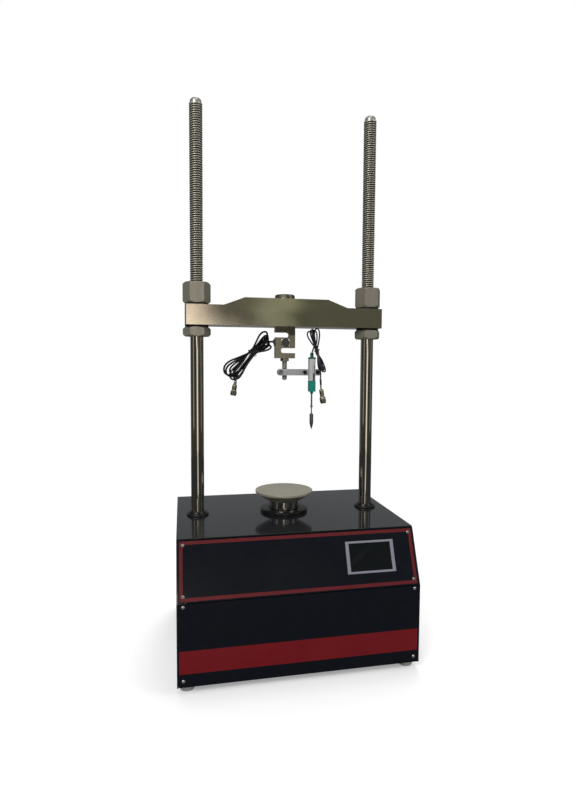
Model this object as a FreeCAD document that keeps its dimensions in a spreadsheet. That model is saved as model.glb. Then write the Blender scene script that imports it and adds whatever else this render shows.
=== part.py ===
import FreeCAD, Part
import math
import os

import Sketcher

# Driving sizes of a 50 kN load frame for triaxial tests, in millimetres and degrees.
# +X is to the right of the person at the panel, +Y is away from them, +Z is up.
SIZES = {
    # cabinet
    "cabinet_deep": 396,
    "cabinet_foot": 15,
    "cabinet_rise": 282,
    "knee_rise": 168,
    "slope_tilt": 22,
    "side_wall": 3,
    "plate_thick": 3,
    "rear_thick": 2,
    "plate_gap": 0.5,
    "lip_thick": 2.5,
    "lip_wide": 16,
    "base_thick": 6,
    "seat_gap": 0.3,
    # small screws of the panels
    "panel_screw_radius": 2,
    "panel_screw_head": 3.6,
    "panel_head_rise": 2.2,
    "panel_screw_reach": 8,
    "panel_screw_inset": 12.5,
    "panel_screw_edge": 13,
    "screw_clearance": 0.1,
    "slope_edge_gap": 1.5,
    # how far a drill or cutter runs past the face it leaves
    "cut_past": 1,
    # display on the sloped panel
    "display_side": 103.5,
    "display_up": 64.5,
    "display_wide": 106.5,
    "display_tall": 66,
    "window_wide": 92,
    "window_tall": 57,
    "frame_rise": 2.5,
    "glass_rise": 1.3,
    "module_deep": 14,
    "module_margin": 1.5,
    # vents in the rear panel
    "vent_long": 70,
    "vent_high": 5,
    "vent_pitch": 12,
    "vent_rows": 7,
    "vent_side": 143,
    "vent_below_deck": 112,
    # columns and lower beam
    "column_y": 21,
    "column_pitch": 410,
    "column_radius": 15,
    "column_rise": 940,
    "column_nose": 11,
    "column_nose_radius": 10,
    "spigot_radius": 12,
    "spigot_below": 30,
    "shoulder_rise": 20,
    "collar_radius": 25.5,
    "collar_rise": 9,
    "collar_chamfer": 1.5,
    "beam_inset": 15,
    "beam_notch_gap": 0.5,
    "beam_deep": 110,
    "beam_thick": 50,
    "leg_thick": 10,
    "leg_deep": 110,
    "leg_foot": 32,
    "leg_window_radius": 32,
    "leg_bolt_pitch": 79.2,
    "leg_nut_gap": 5,
    "base_nut_flat": 36,
    "base_nut_high": 19,
    # fasteners of the frame
    "bolt_radius": 4,
    "bolt_head": 6.5,
    "bolt_long": 26,
    "small_bolt_radius": 2.5,
    "small_bolt_head": 4.25,
    "small_bolt_long": 18,
    # ram, platen and screw jack
    "ram_radius": 35,
    "ram_bore_gap": 2.5,
    "ram_bore_spare": 13,
    "ram_travel": 100,
    "platen_radius": 68.5,
    "platen_rise": 51,
    "platen_rim": 5,
    "platen_cone": 11,
    "platen_neck": 41,
    "ram_collar_radius": 56.5,
    "ram_collar_rise": 8,
    "bush_wall": 7,
    "running_gap": 0.05,
    "housing_radius": 52,
    "housing_wall": 10,
    "housing_flange_out": 23,
    "housing_foot_out": 10,
    "flange_thick": 10,
    "jack_plate_rise": 42.5,
    "jack_plate_thick": 20,
    "jack_plate_margin": 8,
    "bearing_lip": 3,
    "bearing_ledge": 2,
    "screw_hole_gap": 1,
    "shaft_hole_gap": 3,
    "screw_radius": 12.5,
    "screw_spare": 5,
    "screw_below_gear": 2.5,
    "journal_radius": 8.5,
    "bearing_radius": 23.5,
    "bearing_high": 14,
    "thrust_radius": 21,
    "thrust_high": 11,
    "thrust_collar": 17,
    "thrust_collar_high": 4.4,
    "ram_nut_radius": 25,
    "ram_nut_high": 25,
    "ram_nut_flange": 10,
    "key_wide": 8,
    "key_past_housing": 4,
    "key_gap": 0.2,
    "sensor_radius": 4,
    "sensor_long": 32,
    "sensor_nut": 6.8,
    "sensor_stand_off": 1.5,
    "bracket_thick": 4,
    "bracket_out": 14,
    "bracket_high": 16,
    # gears and gearmotor
    "gear_module": 3,
    "gear_teeth": 48,
    "pinion_teeth": 16,
    "pressure_angle": 20,
    "gear_backlash": 0.3,
    "gear_below_plate": 3,
    "gear_thick": 14,
    "gear_hub": 20,
    "gear_hub_rise": 2,
    "motor_shaft": 6,
    "motor_shaft_in": 20,
    "gearbox_radius": 32,
    "gearbox_high": 50,
    "motor_radius": 30,
    "motor_high": 90,
    "encoder_radius": 25,
    "encoder_high": 20,
    "pilot_radius": 20,
    "pilot_high": 8,
    # electronics
    "board_wide": 180,
    "board_deep": 110,
    "board_thick": 1.6,
    "board_inset": 18,
    "board_margin": 6,
    "board_grid": 10,
    "spacer_high": 10,
    "spacer_radius": 3.5,
    "supply_wide": 150,
    "supply_deep": 88,
    "supply_high": 38,
    "supply_side_gap": 53,
    "supply_back_gap": 11,
    "drive_wide": 118,
    "drive_deep": 75,
    "drive_high": 34,
    "drive_side_gap": 49,
    "drive_back_gap": 22,
    "fin_pitch": 12,
    "fin_slot": 5,
    "fin_end": 10,
    "fin_deep": 6,
    "inlet_side": 83,
    "inlet_rise": 103,
    "inlet_wide": 48,
    "inlet_tall": 58,
    "inlet_deep": 34,
    "inlet_flange": 3,
    "inlet_flange_thick": 2.2,
    "socket_mouth_wide": 25,
    "socket_mouth_tall": 17,
    "socket_mouth_deep": 20,
    "pin_half_wide": 1,
    "pin_half_tall": 2,
    "pin_side": 7,
    "pin_offset": 2,
    "pin_sunk": 4,
    "rocker_wide": 20,
    "rocker_tall": 14,
    "rocker_proud": 6.5,
    "rocker_well": 15,
    "rocker_gap": 0.4,
    "rocker_swing_room": 2.1,
    "rocker_pin": 1.2,
    "rocker_pin_grip": 2,
    "rocker_belly": 3,
    "rocker_belly_half": 2,
    "socket_pitch": 34,
    "socket_side": 83,
    "socket_radius": 8,
    "socket_flange": 11,
    "socket_long": 24,
    "socket_bore": 5,
    # levelling feet
    "foot_radius": 15,
    "foot_pad": 9,
    "foot_stud": 5,
    "foot_inset": 20,
    "foot_inset_deep": 26,
    "foot_stud_gap": 1,
    "foot_round": 1.5,
    "foot_chamfer": 2,
    "foot_stud_end": 4,
    # crosshead
    "crosshead_clear": 439,
    "crosshead_overhang": 27,
    "crosshead_deep": 60,
    "crosshead_end_rise": 46,
    "crosshead_rise": 64,
    "shoulder_clear": 59.5,
    "shoulder_run": 47.5,
    "crosshead_round": 3,
    "washer_radius": 26.5,
    "washer_bore_gap": 0.4,
    "washer_thick": 4,
    "nut_flat": 55,
    "nut_chamfer": 3,
    "upper_nut_high": 47,
    "lower_nut_high": 21,
    "nut_gap": 0.1,
    "bolt_washer_radius": 24.5,
    "bolt_washer_thick": 3,
    "centre_head_radius": 23.5,
    "centre_head_rise": 8,
    "centre_head_chamfer": 2,
    "centre_shank": 8,
    # load cell
    "cell_wide": 47,
    "cell_deep": 19,
    "cell_high": 73,
    "cell_arm": 12.25,
    "cell_slot": 12,
    "cell_slot_past": 10.5,
    "cell_pocket": 10.4,
    "cell_cover_sunk": 1,
    "cell_cover_thick": 2,
    "cell_thread": 6,
    "cell_thread_deep": 11,
    "gland_plate": 2,
    "gland_wide": 12,
    "gland_tall": 16.5,
    "gland_radius": 3.5,
    "gland_long": 3,
    "gland_below": 34.2,
    "stud_long": 51,
    "stud_round": 3,
    "lock_nut_flat": 18,
    "lock_nut_high": 7,
    # transducer arm
    "arm_drop": 33,
    "arm_high": 15,
    "arm_deep": 20,
    "arm_left": 9,
    "arm_head": 8,
    "arm_right": 84.5,
    "arm_slit": 2,
    "clamp_screw_x": 10.8,
    "clamp_head": 5,
    "clamp_head_rise": 2.5,
    "clamp_shank": 2.5,
    "slot_left": 39.8,
    "slot_right": 80.5,
    "slot_high": 5.4,
    "clip_offset": 15.5,
    "clip_half": 6,
    "clip_thick": 3,
    "clip_lip": 1.4,
    "clip_gap": 0.2,
    "clip_head": 4.4,
    "clip_head_rise": 5,
    # transducer
    "gauge_x": 62,
    "gauge_y": 2,
    "gauge_wide": 14,
    "gauge_front": 9,
    "gauge_back": 8.8,
    "gauge_line_in": 1.6,
    "gauge_line_wide": 1.8,
    "gauge_below_arm": 45,
    "gauge_high": 76.6,
    "gauge_wall": 1.2,
    "gauge_cap_high": 25.4,
    "gauge_cap_deep": 13,
    "cap_gap": 0.1,
    "groove_deep": 1.6,
    "groove_wide": 2.4,
    "top_cap_high": 4.7,
    "top_cap_over": 0.5,
    "boss_radius": 4.5,
    "boss_high": 5,
    "prong_radius": 3.8,
    "prong_high": 6,
    "prong_slit": 1.6,
    "nose_radius": 3.4,
    "nose_high": 5.4,
    "rod_radius": 1.95,
    "rod_in": 15,
    "rod_room": 5,
    "rod_out": 26.5,
    "stop_gap": 6,
    "stop_radius": 2.5,
    "stop_high": 5.4,
    "thin_rod_radius": 1.45,
    "thin_rod_long": 14.6,
    "tip_radius": 4.5,
    "tip_long": 19,
    "tip_taper": 18.4,
    "tip_chamfer": 1,
    "plunger_travel": 25,
    # signal cables and connectors
    "cell_cable_radius": 2.2,
    "gauge_cable_radius": 1.7,
    "gauge_cable_y": -4,
    "hank_thick": 16,
    "gauge_hank_thick": 11,
    "connector_wall": 1.2,
}


class Length:
    """A size that carries both its value and the expression that gives it."""

    def __init__(self, text, value):
        self.text = text
        self.value = value

    def join(self, sign, other, value):
        return Length(f"({self.text} {sign} {as_length(other).text})", value)

    def __add__(self, other):
        return self.join("+", other, self.value + as_length(other).value)

    def __sub__(self, other):
        return self.join("-", other, self.value - as_length(other).value)

    def __mul__(self, other):
        return self.join("*", other, self.value * as_length(other).value)

    def __truediv__(self, other):
        return self.join("/", other, self.value / as_length(other).value)

    def __radd__(self, other):
        return as_length(other) + self

    def __rsub__(self, other):
        return as_length(other) - self

    def __rmul__(self, other):
        return as_length(other) * self

    def __neg__(self):
        return as_length(0) - self


def as_length(number):
    """Wrap a plain number, such as 0 or a half, so that it joins an expression."""
    return number if isinstance(number, Length) else Length(repr(number), number)


def of_angle(name, angle):
    """The sine, cosine or tangent of an angle in degrees."""
    return Length(f"{name}({angle.text})", getattr(math, name)(math.radians(angle.value)))


doc = FreeCAD.newDocument("load_frame")
sheet = doc.addObject("Spreadsheet::Sheet", "sizes")
for row, (alias, number) in enumerate(SIZES.items(), start=1):
    sheet.set(f"A{row}", alias)
    sheet.set(f"B{row}", str(number))
    sheet.setAlias(f"B{row}", alias)
doc.recompute()


class Named:
    """Gives each size of the sheet by its name."""

    def __getattr__(self, alias):
        return Length("sizes." + alias, sheet.get(alias))


d = Named()
sub_parts = []
UP = FreeCAD.Vector(0, 0, 1)
TURNS = {
    "Z": FreeCAD.Rotation(),
    "X": FreeCAD.Rotation(FreeCAD.Vector(0, 1, 0), 90),
    "Y": FreeCAD.Rotation(FreeCAD.Vector(1, 0, 0), -90),
}


# Helpers for solids

def bind(item, settings):
    """Bind properties of an object to expressions of the sheet."""
    for name, size in settings.items():
        item.setExpression(name, as_length(size).text)
    return item


def place(item, centre, turn=None, angle=None):
    """Put an object at a point given by expressions, turned first if asked."""
    if turn is not None:
        item.Placement = FreeCAD.Placement(FreeCAD.Vector(), turn)
    if angle is not None:
        bind(item, {"Placement.Rotation.Angle": angle})
    return bind(item, {"Placement.Base." + axis: size for axis, size in zip("xyz", centre)})


def box(name, x_span, y_span, z_span):
    """A block between two planes along each axis."""
    item = doc.addObject("Part::Box", name)
    spans = (x_span, y_span, z_span)
    bind(item, {side: as_length(high) - low for side, (low, high)
                in zip(("Length", "Width", "Height"), spans)})
    return place(item, [low for low, high in spans])


def along(axis, point, start):
    """The point where a round solid along an axis begins: its two centre coordinates and its start."""
    near = {"X": (start, point[0], point[1]), "Y": (point[0], start, point[1])}
    return near.get(axis, (point[0], point[1], start))


def rod(name, radius, point, span, axis="Z"):
    """A cylinder along an axis, between two planes."""
    item = doc.addObject("Part::Cylinder", name)
    bind(item, {"Radius": radius, "Height": as_length(span[1]) - span[0]})
    return place(item, along(axis, point, span[0]), TURNS[axis])


def taper(name, low_radius, high_radius, point, span, axis="Z"):
    """A cone between two planes."""
    item = doc.addObject("Part::Cone", name)
    bind(item, {"Radius1": low_radius, "Radius2": high_radius, "Height": as_length(span[1]) - span[0]})
    return place(item, along(axis, point, span[0]), TURNS[axis])


def cut(name, base, *tools):
    """The base with every tool taken away."""
    item = doc.addObject("Part::Cut", name)
    item.Base = base
    item.Tool = tools[0] if len(tools) == 1 else fuse(name + "_tools", *tools)
    return item


def fuse(name, *solids):
    """One solid from several."""
    item = doc.addObject("Part::MultiFuse", name)
    item.Shapes = list(solids)
    item.Refine = True
    return item


def common(name, *solids):
    """What several solids share."""
    item = doc.addObject("Part::MultiCommon", name)
    item.Shapes = list(solids)
    return item


def group(name, *solids):
    """Separate solids of one kind, kept side by side."""
    item = doc.addObject("Part::Compound", name)
    item.Links = list(solids)
    return item


def ring(name, outer, inner, point, span, axis="Z"):
    """A plain ring."""
    return cut(name, rod(name + "_blank", outer, point, span, axis),
               rod(name + "_bore", inner, point, span, axis))


def keep(item, node):
    """Name a finished sub-part."""
    item.Label = node
    sub_parts.append(item)
    return item


# Helpers for sketched bodies

def new_body(name):
    return doc.addObject("PartDesign::Body", name)


def new_sketch(body, plane, height=0):
    """A sketch on one of the body's own planes, lifted along the plane's normal."""
    sketch = body.newObject("Sketcher::SketchObject", body.Name + "_sketch")
    flat = next(f for f in body.Origin.OriginFeatures if f.Role == plane + "_Plane")
    sketch.AttachmentSupport = [(flat, "")]
    sketch.MapMode = "FlatFace"
    return bind(sketch, {"AttachmentOffset.Base.z": height})


def pin_point(sketch, curve, end, x, y):
    """Fix a point of a curve by its two coordinates, each an expression."""
    for kind, axis_line, size in (("DistanceX", -2, x), ("DistanceY", -1, y)):
        size = as_length(size)
        if abs(size.value) < 1e-9:
            sketch.addConstraint(Sketcher.Constraint("PointOnObject", curve, end, axis_line))
        else:
            number = sketch.addConstraint(
                Sketcher.Constraint(kind, -1, 1, curve, end, size.value))
            sketch.setExpression(f"Constraints[{number}]", size.text)


def outline(sketch, points):
    """A closed outline of straight sides through points given by expressions."""
    first = sketch.GeometryCount
    count = len(points)
    rough = [FreeCAD.Vector(as_length(x).value, as_length(y).value, 0) for x, y in points]
    for number in range(count):
        sketch.addGeometry(Part.LineSegment(rough[number], rough[(number + 1) % count]))
    for number in range(count):
        following = first + (number + 1) % count
        sketch.addConstraint(Sketcher.Constraint("Coincident", first + number, 2, following, 1))
    for number, (x, y) in enumerate(points):
        pin_point(sketch, first + number, 1, x, y)
    return sketch


def circle(sketch, x, y, radius):
    """A circle whose centre and radius are expressions."""
    centre = FreeCAD.Vector(as_length(x).value, as_length(y).value, 0)
    curve = sketch.addGeometry(Part.Circle(centre, UP, radius.value))
    pin_point(sketch, curve, 3, x, y)
    number = sketch.addConstraint(Sketcher.Constraint("Radius", curve, radius.value))
    sketch.setExpression(f"Constraints[{number}]", radius.text)
    return sketch


def rectangle(x_span, y_span):
    """The corners of a rectangle."""
    (left, right), (low, high) = x_span, y_span
    return [(left, low), (right, low), (right, high), (left, high)]


def pad(body, sketch, length):
    """Raise a sketch into the body along the sketch's normal."""
    item = body.newObject("PartDesign::Pad", body.Name + "_pad")
    item.Profile = sketch
    bind(item, {"Length": length})
    sketch.Visibility = False
    return item


def volume_of(body):
    doc.recompute()
    return body.Shape.Volume


def pocket(body, sketch, depth, forward=False):
    """Sink a sketch into the body. The volume has to fall, or the pocket points the wrong way."""
    before = volume_of(body)
    item = body.newObject("PartDesign::Pocket", body.Name + "_pocket")
    item.Profile = sketch
    item.Reversed = forward
    bind(item, {"Length": depth})
    if volume_of(body) > before - 1e-6:
        raise RuntimeError(f"{item.Name} takes nothing away")
    return item


def turned(name, node, profile, point, axis_height=0):
    """A turned piece: its half section, as radius and height, is spun about an upright line."""
    body = new_body(name)
    sketch = outline(new_sketch(body, "XZ"), profile)
    spin = body.newObject("PartDesign::Revolution", name + "_spin")
    spin.Profile = sketch
    spin.ReferenceAxis = (sketch, ["V_Axis"])
    spin.Angle = 360
    place(body, (point[0], point[1], axis_height))
    return keep(body, node) if node else body


def hexagon(name, flat, point, span, bore=None, chamfer=None):
    """A six-sided nut, its corners turned off at both ends if asked."""
    prism = doc.addObject("Part::Prism", name + "_prism")
    prism.Polygon = 6
    corner = flat / math.sqrt(3)
    bind(prism, {"Circumradius": corner, "Height": as_length(span[1]) - span[0]})
    place(prism, (point[0], point[1], span[0]))
    item = prism
    if chamfer is not None:
        low, high = as_length(span[0]), as_length(span[1])
        barrel = fuse(
            name + "_barrel",
            taper(name + "_low", flat / 2, corner, point, (low, low + chamfer)),
            rod(name + "_mid", corner, point, (low + chamfer, high - chamfer)),
            taper(name + "_high", corner, flat / 2, point, (high - chamfer, high)),
        )
        item = common(name + "_hex", prism, barrel)
    if bore is None:
        return item
    return cut(name, item, rod(name + "_bore", bore, point, span))


# Places that several sub-parts share

column_x = d.column_pitch / 2
leg_inner = column_x + d.base_nut_flat / 2 + d.leg_nut_gap
leg_outer = leg_inner + d.leg_thick
half_wide = leg_outer + d.beam_inset
front = -d.cabinet_deep / 2
back = d.cabinet_deep / 2
knee = d.cabinet_foot + d.knee_rise
deck_top = d.cabinet_foot + d.cabinet_rise
deck_low = deck_top - d.plate_thick
slope_rise = d.cabinet_rise - d.knee_rise
tilt_sin = of_angle("sin", d.slope_tilt)
tilt_cos = of_angle("cos", d.slope_tilt)
tilt_tan = of_angle("tan", d.slope_tilt)
deck_front = front + slope_rise * tilt_tan
plate_half = half_wide - d.side_wall - d.plate_gap
base_low = d.cabinet_foot + d.lip_thick
base_top = base_low + d.base_thick
beam_low = deck_low - d.beam_thick
centre = (as_length(0), d.column_y)
columns = {"left": (-column_x, d.column_y), "right": (column_x, d.column_y)}
SIDES = {"left": -1, "right": 1}


def cabinet_profile(at_front, on_slope, at_top, at_back, at_bottom):
    """The cabinet seen from the side, with each of its five sides moved inwards by its own amount."""
    low = d.cabinet_foot + at_bottom
    high = deck_top - at_top
    return [
        (front + at_front, low),
        (back - at_back, low),
        (back - at_back, high),
        (deck_front + (on_slope - at_top * tilt_sin) / tilt_cos, high),
        (front + at_front, knee + (at_front * tilt_cos - on_slope) / tilt_sin),
    ]


def on_slope(across, up, out):
    """A point of the sloped face: across it, up along it and out from it."""
    return (across, front + up * tilt_sin - out * tilt_cos, knee + up * tilt_cos + out * tilt_sin)


slope_angle = 90 - d.slope_tilt
SLOPE_TURN = FreeCAD.Rotation(FreeCAD.Vector(1, 0, 0), slope_angle.value)


def slope_body(name):
    """A body drawn flat and stood on the slope: its X is across, its Y up the slope, its Z outwards."""
    return place(new_body(name), (0, front, knee), SLOPE_TURN, slope_angle)


# Panel screws and the holes that they need

def slope_rod(name, radius, across, up, out_span):
    """A short cylinder square to the slope, between two heights above it."""
    item = doc.addObject("Part::Cylinder", name)
    bind(item, {"Radius": radius, "Height": as_length(out_span[1]) - out_span[0]})
    return place(item, on_slope(across, up, out_span[0]), SLOPE_TURN, slope_angle)


screw_x = half_wide - d.panel_screw_inset
slope_low_edge = d.slope_edge_gap
slope_high_edge = (slope_rise - d.plate_thick - d.plate_gap) / tilt_cos
slope_screw_rows = (d.panel_screw_edge, slope_rise / tilt_cos - d.panel_screw_edge)
lower_screw_rows = (d.cabinet_foot + d.panel_screw_edge, knee - d.panel_screw_edge / 2)
rear_screw_rows = (d.cabinet_foot + d.panel_screw_edge, d.cabinet_foot + d.cabinet_rise / 2,
                   deck_top - d.panel_screw_edge)
hole_radius = d.panel_screw_radius + d.screw_clearance


def screw_sets():
    """Each panel screw as head and shank, and a hole of its size with clearance, by side."""
    screws = []
    holes = {"left": [], "right": []}
    for side, sign in SIDES.items():
        x = screw_x * sign
        for number, up in enumerate(slope_screw_rows):
            name = f"slope_screw_{side}_{number}"
            head = slope_rod(name + "_head", d.panel_screw_head, x, up, (0, d.panel_head_rise))
            shank = slope_rod(name + "_shank", d.panel_screw_radius, x, up, (-d.panel_screw_reach, 0))
            screws.append(fuse(name, head, shank))
            holes[side].append(slope_rod(name + "_hole", hole_radius, x, up,
                                         (-d.panel_screw_reach - d.cut_past, d.cut_past)))
        for number, z in enumerate(lower_screw_rows):
            name = f"lower_screw_{side}_{number}"
            head = rod(name + "_head", d.panel_screw_head, (x, z), (front - d.panel_head_rise, front), "Y")
            shank = rod(name + "_shank", d.panel_screw_radius, (x, z),
                        (front, front + d.panel_screw_reach), "Y")
            screws.append(fuse(name, head, shank))
            holes[side].append(rod(name + "_hole", hole_radius, (x, z),
                                   (front - d.cut_past, front + d.panel_screw_reach + d.cut_past), "Y"))
        for number, z in enumerate(rear_screw_rows):
            name = f"rear_screw_{side}_{number}"
            head = rod(name + "_head", d.panel_screw_head, (x, z), (back, back + d.panel_head_rise), "Y")
            shank = rod(name + "_shank", d.panel_screw_radius, (x, z),
                        (back - d.panel_screw_reach, back), "Y")
            screws.append(fuse(name, head, shank))
            holes[side].append(rod(name + "_hole", hole_radius, (x, z),
                                   (back - d.panel_screw_reach - d.cut_past, back + d.cut_past), "Y"))
    return screws, holes


panel_screws, screw_holes = screw_sets()
all_screw_holes = screw_holes["left"] + screw_holes["right"]
keep(group("panel_screws_all", *panel_screws), "panel_screws")


# Side panels: a plate with a folded lip all round

foot_x = half_wide - d.foot_inset
foot_y = d.cabinet_deep / 2 - d.foot_inset_deep
foot_spots = [(foot_x * sx, foot_y * sy) for sx in (-1, 1) for sy in (-1, 1)]


def side_panel(side, sign):
    """One side: the flat plate, the folded lip and a notch in the lip where the beam comes up."""
    body = new_body(f"side_{side}")
    wall_start = half_wide - d.side_wall if sign > 0 else -half_wide
    lip_start = half_wide - d.side_wall - d.lip_wide if sign > 0 else -half_wide + d.side_wall
    plate = new_sketch(body, "YZ", wall_start)
    outline(plate, cabinet_profile(0, 0, d.plate_thick, 0, 0))
    pad(body, plate, d.side_wall)
    lip = new_sketch(body, "YZ", lip_start)
    inner = [d.plate_thick + d.lip_thick] * 3 + [d.rear_thick + d.lip_thick, d.lip_thick]
    outline(lip, cabinet_profile(d.plate_thick, d.plate_thick, d.plate_thick, d.rear_thick, 0))
    outline(lip, cabinet_profile(*inner))
    pad(body, lip, d.lip_wide)
    studs = [rod(f"side_{side}_stud_{number}", d.foot_stud + d.foot_stud_gap, spot, (0, base_top))
             for number, spot in enumerate(foot_spots)]
    reach = leg_outer + d.beam_notch_gap
    start = reach - d.lip_wide
    notch = box(f"side_{side}_notch", (start, reach) if sign > 0 else (-reach, -start),
                (d.column_y - d.beam_deep / 2 - d.beam_notch_gap,
                 d.column_y + d.beam_deep / 2 + d.beam_notch_gap),
                (deck_low - d.lip_thick, deck_low))
    return keep(cut(f"side_{side}_drilled", body, notch, *screw_holes[side], *studs),
                f"side_panel_{side}")


for side, sign in SIDES.items():
    side_panel(side, sign)


# Base plate, deck cover, lower panel and rear panel

base_blank = box(
    "base_blank", (-plate_half, plate_half),
    (front + d.plate_thick + d.lip_thick + d.seat_gap, back - d.rear_thick - d.lip_thick - d.seat_gap),
    (base_low, base_top))
base_stud_holes = [rod(f"base_stud_{number}", d.foot_stud, spot, (base_low, base_top))
                   for number, spot in enumerate(foot_spots)]
leg_bolt_y = [d.column_y + d.leg_bolt_pitch / 2 * sy for sy in (-1, 1)]
foot_bolt_x = leg_inner - d.leg_foot / 2
foot_bolts = [(foot_bolt_x * sx, y) for sx in (-1, 1) for y in leg_bolt_y]
base_bolt_holes = [rod(f"base_bolt_{number}", d.small_bolt_radius, spot, (base_low, base_top))
                   for number, spot in enumerate(foot_bolts)]
keep(cut("base_drilled", base_blank, *base_stud_holes, *base_bolt_holes), "base_plate")

bush_radius = d.ram_radius + d.running_gap + d.bush_wall
deck_blank = box("deck_blank", (-half_wide, half_wide), (deck_front, back), (deck_low, deck_top))
deck_holes = [rod(f"deck_hole_{side}", d.column_radius + d.seat_gap, spot, (deck_low, deck_top))
              for side, spot in columns.items()]
deck_ram_hole = rod("deck_ram_hole", bush_radius + d.seat_gap, centre, (deck_low, deck_top))
keep(cut("deck_cut", deck_blank, deck_ram_hole, *deck_holes), "deck_cover")

lower_blank = box("lower_blank", (-plate_half, plate_half), (front, front + d.plate_thick),
                  (d.cabinet_foot + d.plate_gap, knee - d.plate_gap))
keep(cut("lower_drilled", lower_blank, *all_screw_holes), "lower_panel")


inlet_x = half_wide - d.inlet_side
inlet_z = d.cabinet_foot + d.inlet_rise
socket_spots = [(d.socket_side - half_wide + d.socket_pitch * number, inlet_z) for number in range(3)]
vent_low = deck_top - d.vent_below_deck
vent_x = half_wide - d.vent_side


def rear_panel():
    """The back plate, with rows of vents and openings for the inlet and the sockets."""
    body = new_body("rear")
    plate = new_sketch(body, "XZ", -back)
    outline(plate, rectangle((-plate_half, plate_half),
                             (d.cabinet_foot + d.plate_gap, deck_low - d.plate_gap)))
    pad(body, plate, d.rear_thick)
    openings = new_sketch(body, "XZ", -back)
    outline(openings, rectangle((inlet_x - d.inlet_wide / 2, inlet_x + d.inlet_wide / 2),
                                (inlet_z - d.inlet_tall / 2, inlet_z + d.inlet_tall / 2)))
    for x, z in socket_spots:
        circle(openings, x, z, d.socket_radius)
    pocket(body, openings, d.rear_thick, forward=True)
    for sign in (-1, 1):
        slot = new_sketch(body, "XZ", -back)
        middle = vent_x * sign
        outline(slot, rectangle((middle - d.vent_long / 2, middle + d.vent_long / 2),
                                (vent_low, vent_low + d.vent_high)))
        first = pocket(body, slot, d.rear_thick, forward=True)
        rows = body.newObject("PartDesign::LinearPattern", "vent_rows")
        rows.Originals = [first]
        rows.Direction = (slot, ["V_Axis"])
        bind(rows, {"Length": d.vent_pitch * (d.vent_rows - 1), "Occurrences": d.vent_rows})
        body.Tip = rows
    return keep(cut("rear_drilled", body, *all_screw_holes), "rear_panel")


rear_panel()


# Sloped control panel with its display

display_x = half_wide - d.display_side


def slope_rectangle(body, out, margin=0):
    """A sketch of the display's window, grown by a margin, at a height above the slope."""
    sketch = new_sketch(body, "XY", out)
    wide = d.window_wide / 2 + margin
    tall = d.window_tall / 2 + margin
    return outline(sketch, rectangle((display_x - wide, display_x + wide),
                                     (d.display_up - tall, d.display_up + tall)))


control = slope_body("control")
control_sheet = new_sketch(control, "XY", -d.plate_thick)
outline(control_sheet, rectangle((-plate_half, plate_half), (slope_low_edge, slope_high_edge)))
pad(control, control_sheet, d.plate_thick)
pocket(control, slope_rectangle(control, 0, d.module_margin + d.plate_gap), d.plate_thick)
keep(cut("control_drilled", control, *all_screw_holes), "control_panel")

bezel = slope_body("bezel")
bezel_sketch = new_sketch(bezel, "XY")
outline(bezel_sketch, rectangle(
    (display_x - d.display_wide / 2, display_x + d.display_wide / 2),
    (d.display_up - d.display_tall / 2, d.display_up + d.display_tall / 2)))
pad(bezel, bezel_sketch, d.frame_rise)
pocket(bezel, slope_rectangle(bezel, d.frame_rise), d.frame_rise)
keep(bezel, "display_frame")

display = slope_body("display")
pad(display, slope_rectangle(display, -d.module_deep, d.module_margin), d.module_deep)
pad(display, slope_rectangle(display, 0, -d.plate_gap / 2), d.glass_rise)
keep(display, "touch_display")


# Lower beam on two legs, and what bolts it together

shoulder = beam_low + d.shoulder_rise
housing_flange = d.housing_radius + d.housing_flange_out
housing_foot = d.housing_radius + d.housing_foot_out
housing_bolt_circle = (d.housing_radius + housing_flange) / 2
foot_bolt_circle = (d.housing_radius + housing_foot) / 2


def ring_spots(radius):
    """Four places on a circle round the ram, at 45 degrees to the axes."""
    reach = radius * math.sqrt(0.5)
    return [(reach * sx, d.column_y + reach * sy) for sx in (-1, 1) for sy in (-1, 1)]


leg_top_bolts = [((leg_inner + d.leg_thick / 2) * sx, y) for sx in (-1, 1) for y in leg_bolt_y]
beam_tools = [rod("beam_bush_hole", bush_radius, centre, (beam_low, deck_low))]
for side, spot in columns.items():
    beam_tools.append(rod(f"beam_seat_{side}", d.column_radius, spot, (shoulder, deck_low)))
    beam_tools.append(rod(f"beam_hole_{side}", d.spigot_radius, spot, (beam_low, shoulder)))
for number, spot in enumerate(ring_spots(housing_bolt_circle)):
    beam_tools.append(rod(f"beam_tap_{number}", d.bolt_radius, spot,
                          (beam_low, beam_low + d.bolt_long - d.flange_thick)))
for number, spot in enumerate(leg_top_bolts):
    beam_tools.append(rod(f"beam_leg_hole_{number}", d.small_bolt_radius, spot, (beam_low, deck_low)))
    beam_tools.append(rod(f"beam_leg_sink_{number}", d.small_bolt_head + d.seat_gap, spot,
                          (deck_low - d.small_bolt_head, deck_low)))
beam_blank = box("beam_blank", (-leg_outer, leg_outer),
                 (d.column_y - d.beam_deep / 2, d.column_y + d.beam_deep / 2), (beam_low, deck_low))
keep(cut("beam_bored", beam_blank, *beam_tools), "lower_beam")


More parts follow.
